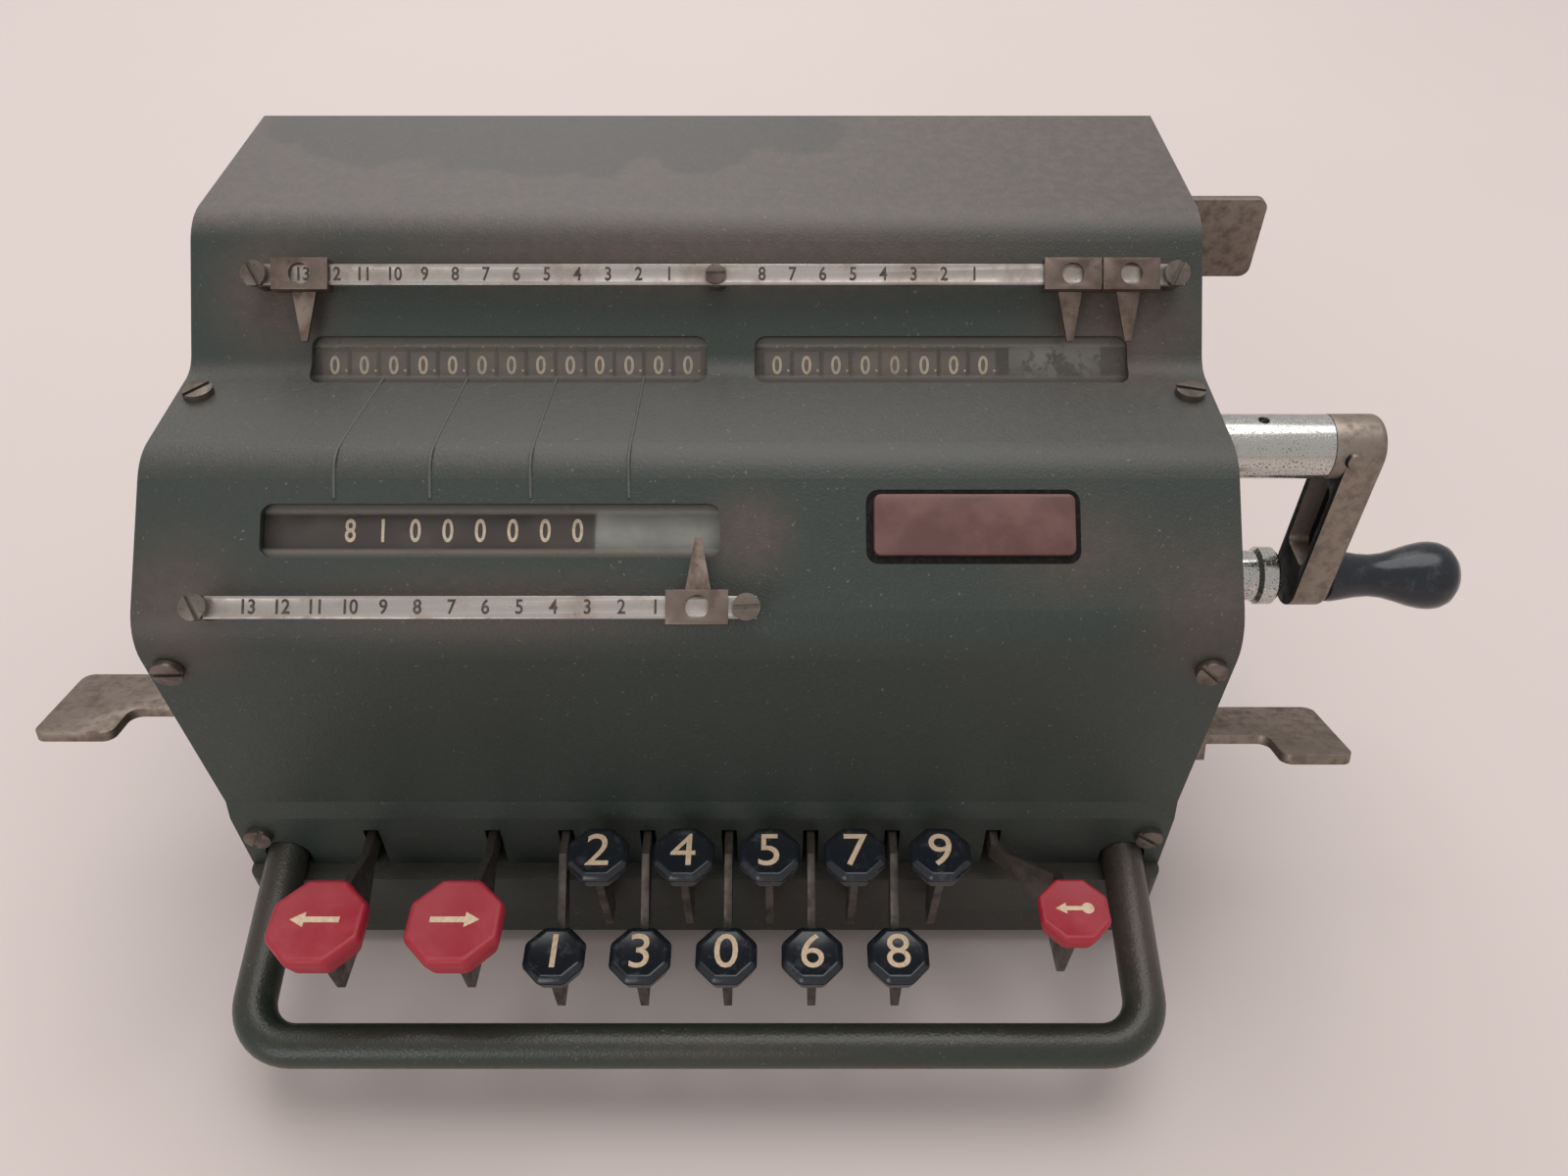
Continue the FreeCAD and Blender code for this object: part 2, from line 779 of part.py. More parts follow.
def side_plates():
    shafts = [
        (register_y, register_z, d.register_shaft_radius + d.run_gap),
        (rotor_y, rotor_z, d.rotor_shaft_radius + d.run_gap),
        (as_size(d.key_shaft_y), deck + d.key_shaft_z, d.key_shaft_radius + d.run_gap),
    ]
    pivot = d.lever_pivot_radius + d.run_gap
    side_plate("left_side_plate", -1, [*shafts, (d.low_lever_y, deck + d.left_lever_z, pivot)])
    side_plate("right_side_plate", 1, [
        *shafts,
        (d.low_lever_y, deck + d.right_lever_z, pivot),
        (d.top_lever_y, deck + d.top_lever_z, pivot),
        (crank_y, crank_z, d.spigot_radius + d.run_gap),
        (crank_y, crank_z - d.arm_length, d.spigot_radius - d.side_thickness + d.run_gap),
    ])


# Base: a cast frame on a pressed pan with four rubber feet

def rail_z_at(y):
    """The height of the rail's middle line at a place along y."""
    return deck - d.rail_drop + (y + d.rail_reach) * tangent(d.rail_tilt)


def base_frame():
    body = new_body("base_casting")
    bottom = d.foot_height + d.pan_height
    outline = new_sketch(body, "frame_outline", "XY_Plane", bottom)
    draw_rounded(outline, -half_width, half_width, -d.ledge, d.body_depth, d.frame_corner)
    pad(body, outline, d.frame_height)
    inside = new_sketch(body, "frame_inside", "XY_Plane", deck + MARGIN)
    wall = d.frame_wall
    side = half_width - wall
    draw_rounded(inside, -side, side, wall - d.ledge, d.body_depth - wall, d.frame_corner)
    pocket(body, inside, d.frame_height + MARGIN * 2)
    blocks = []
    grooves = []
    tilt = 90 + d.rail_tilt
    for side, name in ((-1, "left"), (1, "right")):
        x = side * rail_offset
        front = d.frame_wall - d.ledge
        block_start = front + d.seat_gap
        top = rail_z_at(d.rail_root) - deck
        size = (d.rail_block * 2, d.rail_root - block_start, top + d.frame_height / 2)
        place = (x - d.rail_block, block_start, deck - d.frame_height / 2)
        blocks.append(box(f"{name}_rail_block", place, size))
        groove_start = d.rail_root
        place = (x, groove_start, rail_z_at(groove_start))
        reach = d.rail_root + d.ledge + d.rail_radius * 2
        grooves.append(cylinder(f"{name}_rail_groove", place, d.rail_radius + d.run_gap, reach, "z", tilt))
    settle(cut("base_frame_cut", fuse("base_frame_blocks", [body, *blocks]), grooves), "base_frame")


def bottom_pan():
    body = new_body("bottom_pan")
    outline = new_sketch(body, "pan_outline", "XY_Plane", d.foot_height)
    edge = half_width - d.seam
    front = d.seam - d.ledge
    back = d.body_depth - d.seam
    draw_rounded(outline, -edge, edge, front, back, d.frame_corner)
    pad(body, outline, d.pan_height)
    inside = new_sketch(body, "pan_inside", "XY_Plane", d.foot_height + d.pan_height)
    wall = d.pan_wall
    draw_rounded(inside, wall - edge, edge - wall, front + wall, back - wall, d.frame_corner - wall / 2)
    pocket(body, inside, d.pan_height - d.pan_floor)
    settle(body, "bottom_pan")


def rubber_feet():
    feet = []
    for side in (-1, 1):
        for y in (d.foot_inset - d.ledge, d.body_depth - d.foot_inset):
            place = (side * (half_width - d.foot_inset), y, 0)
            feet.append(cylinder(f"foot_{len(feet)}", place, d.foot_radius, d.foot_height, "z"))
    settle(group("feet_group", feet), "rubber_feet")


def front_rail():
    body = new_body("front_rail")
    half = rail_offset
    length = (d.rail_reach + d.rail_root) / cosine(d.rail_tilt)
    path = new_sketch(body, "rail_path", "XY_Plane")
    bend = d.rail_bend
    # The path is two legs, two bends and the front bar
    points = [
        (-half, as_size(0)),
        (-half, bend - length),
        (bend - half, -length),
        (half - bend, -length),
        (half, bend - length),
        (half, as_size(0)),
    ]
    corners = [FreeCAD.Vector(x.number, y.number, 0) for x, y in points]
    items = [sketch_line(path, corners[0], corners[1])]
    for start, end, middle, first in ((1, 2, (bend - half, bend - length), 180),
                                      (3, 4, (half - bend, bend - length), 270)):
        x, y = middle
        circle = Part.Circle(FreeCAD.Vector(x.number, y.number, 0), FreeCAD.Vector(0, 0, 1), bend.number)
        arc = path.addGeometry(Part.ArcOfCircle(circle, math.radians(first), math.radians(first + 90)))
        fix_point(path, arc, 3, x, y)
        measure(path, "Radius", bend, arc)
        items.append(arc)
        items.append(sketch_line(path, corners[end], corners[end + 1]))
    for item, following in zip(items, items[1:]):
        path.addConstraint(Sketcher.Constraint("Tangent", item, 2, following, 1))
    fix_point(path, items[0], 1, *points[0])
    fix_point(path, items[-1], 2, *points[-1])
    section = new_sketch(body, "rail_section", "XZ_Plane")
    draw_circle(section, -half, 0, d.rail_radius)
    pipe = body.newObject("PartDesign::AdditivePipe", "rail_pipe")
    pipe.Profile = section
    pipe.Spine = path
    settle(body, "front_rail", (0, d.rail_root, rail_z_at(d.rail_root)), d.rail_tilt)


def sketch_line(sketch, start, end):
    return sketch.addGeometry(Part.LineSegment(start, end))


# Screws: plain heads here, all of them slotted on the real machine

def screw(name, place, axis, away, length):
    """A screw whose head stands out from a face: away is 1 where the axis points outwards."""
    x, y, z = place
    head_shift = 0 if away > 0 else -d.screw_head_height
    shank_shift = -length if away > 0 else as_size(0)
    moved = {"y": lambda shift: (x, y + shift, z), "z": lambda shift: (x, y, z + shift)}[axis]
    head_place = moved(as_size(head_shift))
    head = cylinder(f"{name}_head", head_place, d.screw_head_radius, d.screw_head_height, axis)
    shank = cylinder(f"{name}_shank", moved(as_size(shank_shift)), d.screw_radius, length, axis)
    return fuse(name, [head, shank])


def bar_screw(name, slope, x, rise):
    """A shouldered screw that holds a marker bar off the sheet."""
    turn = slope.angle
    depth = d.sheet * 2
    foot = slope.at(x, rise, as_size(0))
    parts = [
        cylinder(f"{name}_head", slope.at(x, rise, bar_front), d.screw_head_radius - d.seam,
                 d.screw_head_height, "z", turn),
        cylinder(f"{name}_shoulder", foot, d.bar_post_radius, d.bar_standoff, "z", turn),
        cylinder(f"{name}_shank", slope.at(x, rise, -depth), d.screw_radius, depth + bar_front, "z", turn),
    ]
    return fuse(name, parts)


def lever_screw(name, side, y, z):
    """The shouldered pivot of a clearing lever, headed outside the lever."""
    length = lever_outside + d.seat_gap - side_inside
    start = side_inside if side > 0 else -(side_inside + length)
    collar_length = d.lever_gap - d.seat_gap
    collar_start = side_outside if side > 0 else -(side_outside + collar_length)
    seat = lever_outside + d.seat_gap
    head_start = seat if side > 0 else -(seat + d.screw_head_height)
    parts = [
        cylinder(f"{name}_pin", (start, y, z), d.lever_pivot_radius, length, "x"),
        cylinder(f"{name}_collar", (collar_start, y, z), d.lever_pivot_head, collar_length, "x"),
        cylinder(f"{name}_head", (head_start, y, z), d.lever_pivot_head, d.screw_head_height, "x"),
    ]
    return fuse(name, parts)


def upper_posts():
    return (upper_bar_left, (upper_bar_left + upper_bar_right) / 2, upper_bar_right)


def lower_posts():
    return (lower_bar_left, d.lower_bar_right)


def panel_y_at(z):
    """The front panel's outer face at a height above the base's top."""
    foot = d.band_height + d.step_height
    return d.band_step - (d.band_step + d.panel_lean) * (z - foot) / (panel_top - foot)


def slotted_screws():
    screws = []
    for side, name in ((-1, "left"), (1, "right")):
        x = side * screw_offset
        shelf = (x, as_size(d.shelf_screw_y), deck + d.shelf_height)
        panel = (x, panel_y_at(panel_screw_z) - d.seat_gap, deck + panel_screw_z)
        band = (x, as_size(0), deck + d.band_screw_z)
        rear = (x, as_size(d.body_depth), deck + d.rear_screw_z)
        screws.append(screw(f"{name}_shelf_screw", shelf, "z", 1, d.screw_length))
        screws.append(screw(f"{name}_panel_screw", panel, "y", -1, d.screw_length))
        screws.append(screw(f"{name}_band_screw", band, "y", -1, d.screw_length))
        screws.append(screw(f"{name}_rear_screw", rear, "y", 1, d.screw_length))
    for index, x in enumerate(upper_posts()):
        screws.append(bar_screw(f"upper_bar_screw_{index}", upper, x, as_size(d.upper_bar_rise)))
    for index, x in enumerate(lower_posts()):
        screws.append(bar_screw(f"lower_bar_screw_{index}", lower, x, as_size(d.lower_bar_rise)))
    screws.append(lever_screw("left_lever_screw", -1, d.low_lever_y, deck + d.left_lever_z))
    screws.append(lever_screw("right_lever_screw", 1, d.low_lever_y, deck + d.right_lever_z))
    screws.append(lever_screw("top_lever_screw", 1, d.top_lever_y, deck + d.top_lever_z))
    settle(group("screw_group", screws), "slotted_screws")


# Marker bars and the markers that slide on them

def marker_bar(label, slope, posts, rise):
    left = posts[0] - d.bar_end
    length = posts[-1] + d.bar_end - left
    low = rise - d.bar_height / 2
    size = (length, d.bar_height, d.bar_thickness)
    bar = sloped_box(f"{label}_blank", slope, (left, low, d.bar_standoff), size)
    holes = []
    for index, x in enumerate(posts):
        start = slope.at(x, rise, d.bar_standoff - MARGIN)
        hole = d.screw_radius + d.screw_hole_gap
        depth = d.bar_thickness + MARGIN * 2
        holes.append(cylinder(f"{label}_hole_{index}", start, hole, depth, "z", slope.angle))
    settle(cut(f"{label}_bar", bar, holes), label)


def marker(label, slope, x, rise, points_up):
    """A folded clip round the bar, with a sight hole in front and a tapered pointer."""
    gap = d.marker_gap
    wall = d.marker_wall
    half = d.marker_width / 2
    clip = new_body(f"{label}_clip")
    outline = new_sketch(clip, f"{label}_outline", "YZ_Plane", -half)
    inner_half = d.bar_height / 2 + gap
    back = -gap
    front = d.bar_thickness + gap
    draw_polygon(outline, [
        (-d.marker_height / 2, back - wall),
        (d.marker_height / 2, back - wall),
        (d.marker_height / 2, front + wall),
        (-d.marker_height / 2, front + wall),
    ])
    draw_polygon(outline, [
        (-inner_half, back),
        (inner_half, back),
        (inner_half, front),
        (-inner_half, front),
    ])
    pad(clip, outline, d.marker_width)
    sight = new_sketch(clip, f"{label}_sight", "XY_Plane", front + wall + MARGIN)
    draw_circle(sight, 0, 0, d.marker_hole)
    pocket(clip, sight, wall + MARGIN + gap)
    way = 1 if points_up else -1
    root_at = way * (d.marker_height / 2 - wall)
    tip_at = way * (d.marker_height / 2 + d.pointer_length)
    leg = new_sketch(clip, f"{label}_leg", "XY_Plane", back - wall)
    draw_polygon(leg, [
        (-d.pointer_root / 2, root_at),
        (d.pointer_root / 2, root_at),
        (d.pointer_tip / 2, tip_at),
        (-d.pointer_tip / 2, tip_at),
    ])
    pad(clip, leg, wall)
    settle(clip, label, slope.at(x, rise, d.bar_standoff), slope.angle)


def markers_and_bars():
    upper_rise = as_size(d.upper_bar_rise)
    lower_rise = as_size(d.lower_bar_rise)
    marker_bar("upper_marker_bar", upper, upper_posts(), upper_rise)
    marker_bar("lower_marker_bar", lower, lower_posts(), lower_rise)
    outer_x = upper_bar_right - d.marker_stop
    marker("accumulator_marker", upper, upper_bar_left + d.marker_stop, upper_rise, False)
    marker("counter_marker_inner", upper, outer_x - d.marker_spacing, upper_rise, False)
    marker("counter_marker_outer", upper, outer_x, upper_rise, False)
    marker("setting_marker", lower, d.lower_bar_right - d.marker_stop, lower_rise, True)


def windows():
    depth = -(d.sheet + d.seat_gap + d.window_thickness)
    lap = d.window_lap
    low = d.register_low - d.seam
    left = d.accumulator_left - lap
    size = (counter_right + lap - left, d.register_high + lap - low, d.window_thickness)
    settle_fixed(sloped_box("register_strip", upper, (left, low, depth), size), "register_window")
    low = d.setting_low - lap
    left = d.setting_left - lap
    size = (d.setting_right + lap - left, d.setting_high + lap - low, d.window_thickness)
    settle_fixed(sloped_box("setting_strip", lower, (left, low, depth), size), "setting_window")


def settle_fixed(thing, label):
    """Settles a primitive that keeps a placement of its own."""
    return settle(group(f"{label}_piece", [thing]), label)


# Registers: ten-sided number wheels on one shaft

def number_wheels(label, first, start, count):
    wheels = []
    for index in range(start, start + count):
        wheel = doc.addObject("Part::Prism", f"{label}_wheel_{index}")
        wheel.Polygon = WHEEL_SIDES
        bind(wheel, "Circumradius", d.wheel_radius / cosine(as_size(WHEEL_HALF_ANGLE)))
        bind(wheel, "Height", d.wheel_width)
        wheel.Placement = FreeCAD.Placement(FreeCAD.Vector(), AXIS_TURN["x"])
        put_at(wheel, (first + d.digit_pitch * index - d.wheel_width / 2, 0, 0))
        wheels.append(wheel)
    bore_start = first + d.digit_pitch * (start - 1)
    bore = cylinder(f"{label}_bore", (bore_start, 0, 0), d.register_shaft_radius + d.run_gap,
                    d.digit_pitch * (count + 1), "x")
    set_of_wheels = cut(f"{label}_set", group(f"{label}_blanks", wheels), [bore])
    settle(set_of_wheels, label, (0, register_y, register_z), d.upper_slope - WHEEL_HALF_ANGLE)


def registers():
    number_wheels("accumulator_wheels", d.accumulator_first, 0, ACCUMULATOR_DIGITS)
    number_wheels("counter_wheels", d.counter_first, 0, COUNTER_DIGITS - 1)
    number_wheels("counter_units_wheel", d.counter_first, COUNTER_DIGITS - 1, 1)
    for label, y, z, radius in (
        ("register_shaft", register_y, register_z, d.register_shaft_radius),
        ("key_shaft", as_size(d.key_shaft_y), deck + d.key_shaft_z, d.key_shaft_radius),
    ):
        bar = cylinder(f"{label}_bar", (-side_outside, y, z), radius, side_outside * 2, "x")
        settle_fixed(bar, label)


# Rotor and crank drive

def spur_gear(name, start):
    """A toothed wheel about x whose first tooth points along y."""
    body = new_body(name)
    pitch_radius = gear_distance / 2
    root_radius = pitch_radius - d.gear_module * 1.2
    tip_radius = pitch_radius + d.gear_module * 0.8
    disc = new_sketch(body, f"{name}_disc", "YZ_Plane", start)
    draw_circle(disc, 0, 0, root_radius)
    pad(body, disc, d.gear_width)
    tooth = new_sketch(body, f"{name}_tooth", "YZ_Plane", start)
    root_half = d.gear_module * 0.95
    tip_half = d.gear_module * 0.34
    draw_polygon(tooth, [
        (root_radius - d.gear_module / 2, -root_half),
        (tip_radius, -tip_half),
        (tip_radius, tip_half),
        (root_radius - d.gear_module / 2, root_half),
    ])
    one = pad(body, tooth, d.gear_width)
    ring = body.newObject("PartDesign::PolarPattern", f"{name}_teeth")
    ring.Originals = [one]
    ring.Axis = (origin_item(body, "X_Axis"), [""])
    ring.Angle = 360
    ring.Occurrences = GEAR_TEETH
    body.Tip = ring
    return body


def drive():
    half_tooth = 180 / GEAR_TEETH
    gear = spur_gear("rotor_gear", d.gear_x)
    bar = cylinder("rotor_bar", (-side_outside, 0, 0), d.rotor_shaft_radius, side_outside * 2, "x")
    key = box("rotor_key", (d.drum_left - d.drum_length / 4, -d.pin_width / 2, 0),
              (d.drum_length * 1.5, d.pin_width, d.rotor_shaft_radius + MARGIN))
    settle(fuse("rotor_shaft_fused", [gear, bar, key]), "rotor_shaft", (0, rotor_y, rotor_z),
           d.drive_angle + half_tooth)

    gear = spur_gear("crank_gear", d.gear_x)
    shaft_end = arm_outside - d.arm_wall
    start = d.gear_x - d.gear_width / 2
    bar = cylinder("crank_bar", (start, 0, 0), d.crank_shaft_radius, shaft_end - start, "x")
    crank_shaft = fuse("crank_shaft_fused", [gear, bar])
    settle(crank_shaft, "crank_shaft", (0, crank_y, crank_z), d.drive_angle + 180)


def setting_drum():
    """The drum that shows the entered number: a band of figures on one side, driving pins on the other."""
    band = doc.addObject("Part::Cylinder", "drum_band")
    bind(band, "Radius", d.drum_radius)
    bind(band, "Height", d.drum_length)
    bind(band, "Angle", d.drum_band_angle)
    band.Placement = FreeCAD.Placement(FreeCAD.Vector(), AXIS_TURN["x"])
    put_at(band, (d.drum_left, 0, 0))
    core = cylinder("drum_core", (d.drum_left, 0, 0), d.drum_core, d.drum_length, "x")
    drum_right = d.drum_left + d.drum_length
    sleeve = cylinder("drum_sleeve", (drum_right, 0, 0), d.sleeve_radius, d.sleeve_length, "x")
    whole_length = d.drum_length + d.sleeve_length
    pins = []
    for row in range(DRUM_PINS):
        angle = d.drum_band_angle + (360 - d.drum_band_angle) * ((row + 1) / (DRUM_PINS + 1))
        for index in range(DRUM_DIGITS):
            x = d.drum_first + d.drum_pitch * index - d.pin_width / 2
            pin = box(f"drum_pin_{row}_{index}", (x, 0, 0),
                      (d.pin_width, d.pin_width, d.drum_core + d.pin_rise))
            pin.Placement.Rotation = FreeCAD.Rotation(FreeCAD.Vector(1, 0, 0), 30)
            bind(pin, "Placement.Rotation.Angle", 180 + angle)
            pins.append(pin)
    bore = cylinder("drum_bore", (d.drum_left - MARGIN, 0, 0), d.rotor_shaft_radius + d.run_gap,
                    whole_length + MARGIN * 2, "x")
    half_tooth = 180 / GEAR_TEETH
    key_way = box("drum_key_way", (d.drum_left - MARGIN, -d.pin_width / 2 - d.seat_gap, 0),
                  (whole_length + MARGIN * 2, d.pin_width + d.seat_gap * 2,
                   d.rotor_shaft_radius + MARGIN + d.seat_gap))
    key_way.Placement.Rotation = FreeCAD.Rotation(FreeCAD.Vector(1, 0, 0), 30)
    drum_turn = 180 - d.drum_band_angle / 2 + d.lower_slope
    shaft_turn = d.drive_angle + half_tooth
    back_turn = shaft_turn - drum_turn
    half_key = d.pin_width / 2 + d.seat_gap
    put_at(key_way, (d.drum_left - MARGIN, -half_key * cosine(back_turn), -half_key * sine(back_turn)))
    bind(key_way, "Placement.Rotation.Angle", back_turn)
    whole = fuse("drum_fused", [core, sleeve, band, *pins])
    settle(cut("drum_cut", whole, [bore, key_way]), "setting_drum", (0, rotor_y, rotor_z), drum_turn)


# Crank: bearing tube, arm, spindle and handle, with the stud that the arm rests by

def crank_bearing():
    body = new_body("bearing_turned")
    bore = d.crank_shaft_radius + d.run_gap
    outline = new_sketch(body, "bearing_outline", "XY_Plane")
    draw_polygon(outline, [
        (side_inside, bore),
        (side_inside, d.spigot_radius),
        (side_outside, d.spigot_radius),
        (side_outside, d.bearing_flange),
        (side_outside + d.flange_thickness, d.bearing_flange),
        (side_outside + d.flange_thickness, d.bearing_radius),
        (side_outside + d.bearing_length, d.bearing_radius),
        (side_outside + d.bearing_length, bore),
    ])
    revolve(body, outline, "X_Axis")
    oil_x = side_outside + d.bearing_length / 2
    oil_place = (oil_x, 0, d.crank_shaft_radius)
    oil_hole = cylinder("oil_hole", oil_place, d.oil_hole_radius, d.bearing_radius, "z")
    settle(cut("bearing_cut", body, [oil_hole]), "crank_bearing", (0, crank_y, crank_z))


def rest_stud():
    body = new_body("rest_stud")
    outline = new_sketch(body, "stud_outline", "XY_Plane")
    spigot = d.spigot_radius - d.side_thickness
    end = side_outside + d.stud_length
    collar = end - d.collar_length
    chamfer = d.stud_collar - d.stud_radius
    draw_polygon(outline, [
        (side_inside, 0),
        (side_inside, spigot),
        (side_outside, spigot),
        (side_outside, d.stud_radius),
        (collar, d.stud_radius),
        (collar + chamfer, d.stud_collar),
        (end - chamfer, d.stud_collar),
        (end, d.stud_radius),
        (end, 0),
    ])
    revolve(body, outline, "X_Axis")
    settle(body, "rest_stud", (0, crank_y, crank_z - d.arm_length))


def crank_arm():
    """The hub fits the tube's end, and the arm hangs from it with a long recess on its inner face."""
    body = new_body("arm_blank")
    hub = new_sketch(body, "arm_hub", "YZ_Plane", arm_inside)
    draw_circle(hub, 0, 0, d.bearing_radius)
    pad(body, hub, d.arm_width)
    inner_face = arm_inside + d.arm_offset
    outline = new_sketch(body, "arm_outline", "YZ_Plane", inner_face)
    draw_obround(outline, -d.arm_length, 0, d.bearing_radius)
    blank = pad(body, outline, d.arm_width - d.arm_offset)
    doc.recompute()
    rounding = body.newObject("PartDesign::Fillet", "arm_rounding")
    rounding.Base = (blank, faces_towards(blank, [(1, 0, 0)]))
    bind(rounding, "Radius", d.arm_rounding)
    recess = new_sketch(body, "arm_recess", "YZ_Plane", inner_face + d.arm_recess)
    inner = d.bearing_radius - d.arm_wall
    recess_bottom = d.bearing_radius - d.arm_length
    draw_rounded(recess, -inner, inner, recess_bottom, -d.bearing_radius - d.arm_wall, d.arm_wall)
    pocket(body, recess, d.arm_recess + MARGIN)
    tools = [
        cylinder("arm_shaft_bore", (arm_inside - MARGIN, 0, 0), d.crank_shaft_radius + d.run_gap,
                 d.arm_width - d.arm_wall + MARGIN, "x"),
        cylinder("arm_spindle_bore", (inner_face + d.arm_wall, 0, -d.arm_length),
                 d.spindle_radius + d.run_gap, d.arm_width, "x"),
    ]
    settle(cut("arm_cut", body, tools), "crank_arm", (0, crank_y, crank_z))


def handle_spindle():
    start = arm_inside + d.arm_offset + d.arm_wall
    length = handle_start + d.handle_length * SPINDLE_SHARE - start
    place = (start, crank_y, crank_z - d.arm_length)
    settle_fixed(cylinder("spindle_bar", place, d.spindle_radius, length, "x"), "handle_spindle")


def crank_handle():
    """A turned grip: a collar, a waist and a round bulb, loose on its spindle."""
    body = new_body("crank_handle")
    bore = d.spindle_radius + d.run_gap
    waist = handle_start + d.handle_length * 0.3
    bulb_start = handle_start + d.handle_length * 0.66
    bulb_end = handle_start + d.handle_length * 0.86
    bore_end = handle_start + d.handle_length * SPINDLE_SHARE + d.seam
    end = handle_start + d.handle_length
    profile = new_sketch(body, "handle_profile", "XY_Plane")
    draw_polygon(profile, [
        (handle_start, bore),
        (handle_start, d.handle_collar),
        (waist, d.handle_waist),
        (bulb_start, d.handle_radius),
        (bulb_end, d.handle_radius),
        (end, d.handle_radius * 0.4),
        (end, 0),
        (bore_end, 0),
        (bore_end, bore),
    ])
    turned = revolve(body, profile, "X_Axis")
    waisted = round_rings(body, turned, "handle_waisting", handle_start, bulb_start, d.handle_length * 0.4)
    bulb_front = waist + d.handle_length * 0.3
    round_rings(body, waisted, "handle_rounding", bulb_front, end + MARGIN, d.handle_radius * 0.7)
    settle(body, "crank_handle", (0, crank_y, crank_z - d.arm_length))


def round_rings(body, feature, name, start, end, radius):
    """Rounds the edges that run round the handle between two places along x."""
    doc.recompute()
    names = []
    for index, edge in enumerate(feature.Shape.Edges, start=1):
        if not isinstance(edge.Curve, Part.Circle):
            continue
        if edge.Curve.Radius < d.spindle_radius.number + MARGIN / 2:
            continue
        if start.number + MARGIN / 2 < edge.Curve.Center.x < end.number - MARGIN / 2:
            names.append(f"Edge{index}")
    fillet = body.newObject("PartDesign::Fillet", name)
    fillet.Base = (feature, names)
    bind(fillet, "Radius", radius)
    return fillet


# Clearing levers: a flat arm beside the body with a finger tab bent outwards

def clearing_lever(label, side, place, turn, tab):
    start, end, reach, notch, waist = tab
    body = new_body(f"{label}_blank")
    arm = new_sketch(body, f"{label}_arm", "YZ_Plane", lever_inside if side > 0 else -lever_outside)
    hub = d.lever_hub_radius
    draw_polygon(arm, [
        (hub * 0.5, -hub),
        (hub, 0),
        (hub * 0.5, d.lever_thickness),
        (-notch, d.lever_thickness),
        (-notch, -hub * 0.6),
        (-start * 0.6, -hub),
    ])
    pad(body, arm, d.lever_thickness)
    leaf = new_sketch(body, f"{label}_tab", "XY_Plane")
    inner = side * lever_inside
    outer = side * (lever_outside + reach)
    if waist is None:
        points = [(inner, -start), (outer, -start), (outer, -end), (inner, -end)]
    else:
        cut_in = side * (lever_outside + waist)
        points = [(inner, -start), (outer, -start), (outer, -end)]
        points += [(cut_in, -end), (cut_in, -notch), (inner, -notch)]
    draw_polygon(leaf, points)
    blank = pad(body, leaf, d.lever_thickness)
    round_edges(body, blank, f"{label}_corners", points[1:-1], d.tab_corner, "z")
    bore_start = lever_inside - MARGIN if side > 0 else -lever_outside - MARGIN
    bore = cylinder(f"{label}_bore", (bore_start, 0, 0), d.lever_pivot_radius + d.run_gap,
                    d.lever_thickness + MARGIN * 2, "x")
    settle(cut(f"{label}_cut", body, [bore]), label, place, turn)


def clearing_levers():
    left_tab = low_tab(d.left_tab_start, d.low_tab_reach)
    right_tab = low_tab(d.right_tab_start, d.low_tab_reach - d.lever_gap)
    top_tab = (d.top_tab_start, d.top_tab_end, d.top_tab_reach, d.top_tab_end, None)
    left_place = (0, d.low_lever_y, deck + d.left_lever_z)
    right_place = (0, d.low_lever_y, deck + d.right_lever_z)
    top_place = (0, d.top_lever_y, deck + d.top_lever_z)
    clearing_lever("left_clearing_lever", -1, left_place, -d.left_lever_tilt, left_tab)
    clearing_lever("right_clearing_lever", 1, right_place, -d.right_lever_tilt, right_tab)
    clearing_lever("top_clearing_lever", 1, top_place, as_size(-90), top_tab)


def low_tab(start, reach):
    return start, start + d.low_tab_depth, reach, start + d.low_tab_neck, d.low_tab_waist


# Keys: flat levers on one shaft, with eight-sided caps

def key_cap(label, x, y, top, across, height):
    body = new_body(label)
    half = across / 2
    short = half * tangent(as_size(CAP_HALF_ANGLE))
    outline = new_sketch(body, f"{label}_outline", "XY_Plane", top - height)
    draw_polygon(outline, [
        (half, short), (short, half), (-short, half), (-half, short),
        (-half, -short), (-short, -half), (short, -half), (half, -short),
    ])
    block = pad(body, outline, height)
    doc.recompute()
    bevel = body.newObject("PartDesign::Chamfer", f"{label}_bevel")
    bevel.Base = (block, faces_towards(block, [(0, 0, 1)]))
    bind(bevel, "Size", d.key_cap_bevel)
    socket = new_sketch(body, f"{label}_socket", "XY_Plane", top - height + d.key_tang + d.run_gap)
    slot = d.key_lever_thickness / 2 + d.run_gap
    reach = d.key_tang_half + d.run_gap
    draw_polygon(socket, [(-slot, -reach), (slot, -reach), (slot, reach), (-slot, reach)])
    pocket(body, socket, d.key_tang + MARGIN)
    settle(body, label, (x, -y, deck))


def lever_points(front):
    """A key lever's side outline: the common shank with the given front end, from below to above."""
    tail = d.key_shaft_y + d.key_tail
    rear_low = d.key_shaft_z - d.key_tail
    rear_high = d.key_shaft_z + d.key_tail
    neck = d.ledge + MARGIN
    points = [(tail, rear_low), (-neck, d.key_lever_bottom)]
    points += [*front, (-neck, d.key_lever_top), (tail, rear_high)]
    return [(y, deck + z) for y, z in points]


def tang_points(y, seat):
    """The seat and tang under a cap at a distance y in front of the cover."""
    half = d.key_tang_half
    return [
        (-y - half - MARGIN, seat),
        (-y - half, seat),
        (-y - half, seat + d.key_tang),
        (-y + half, seat + d.key_tang),
        (-y + half, seat),
    ]


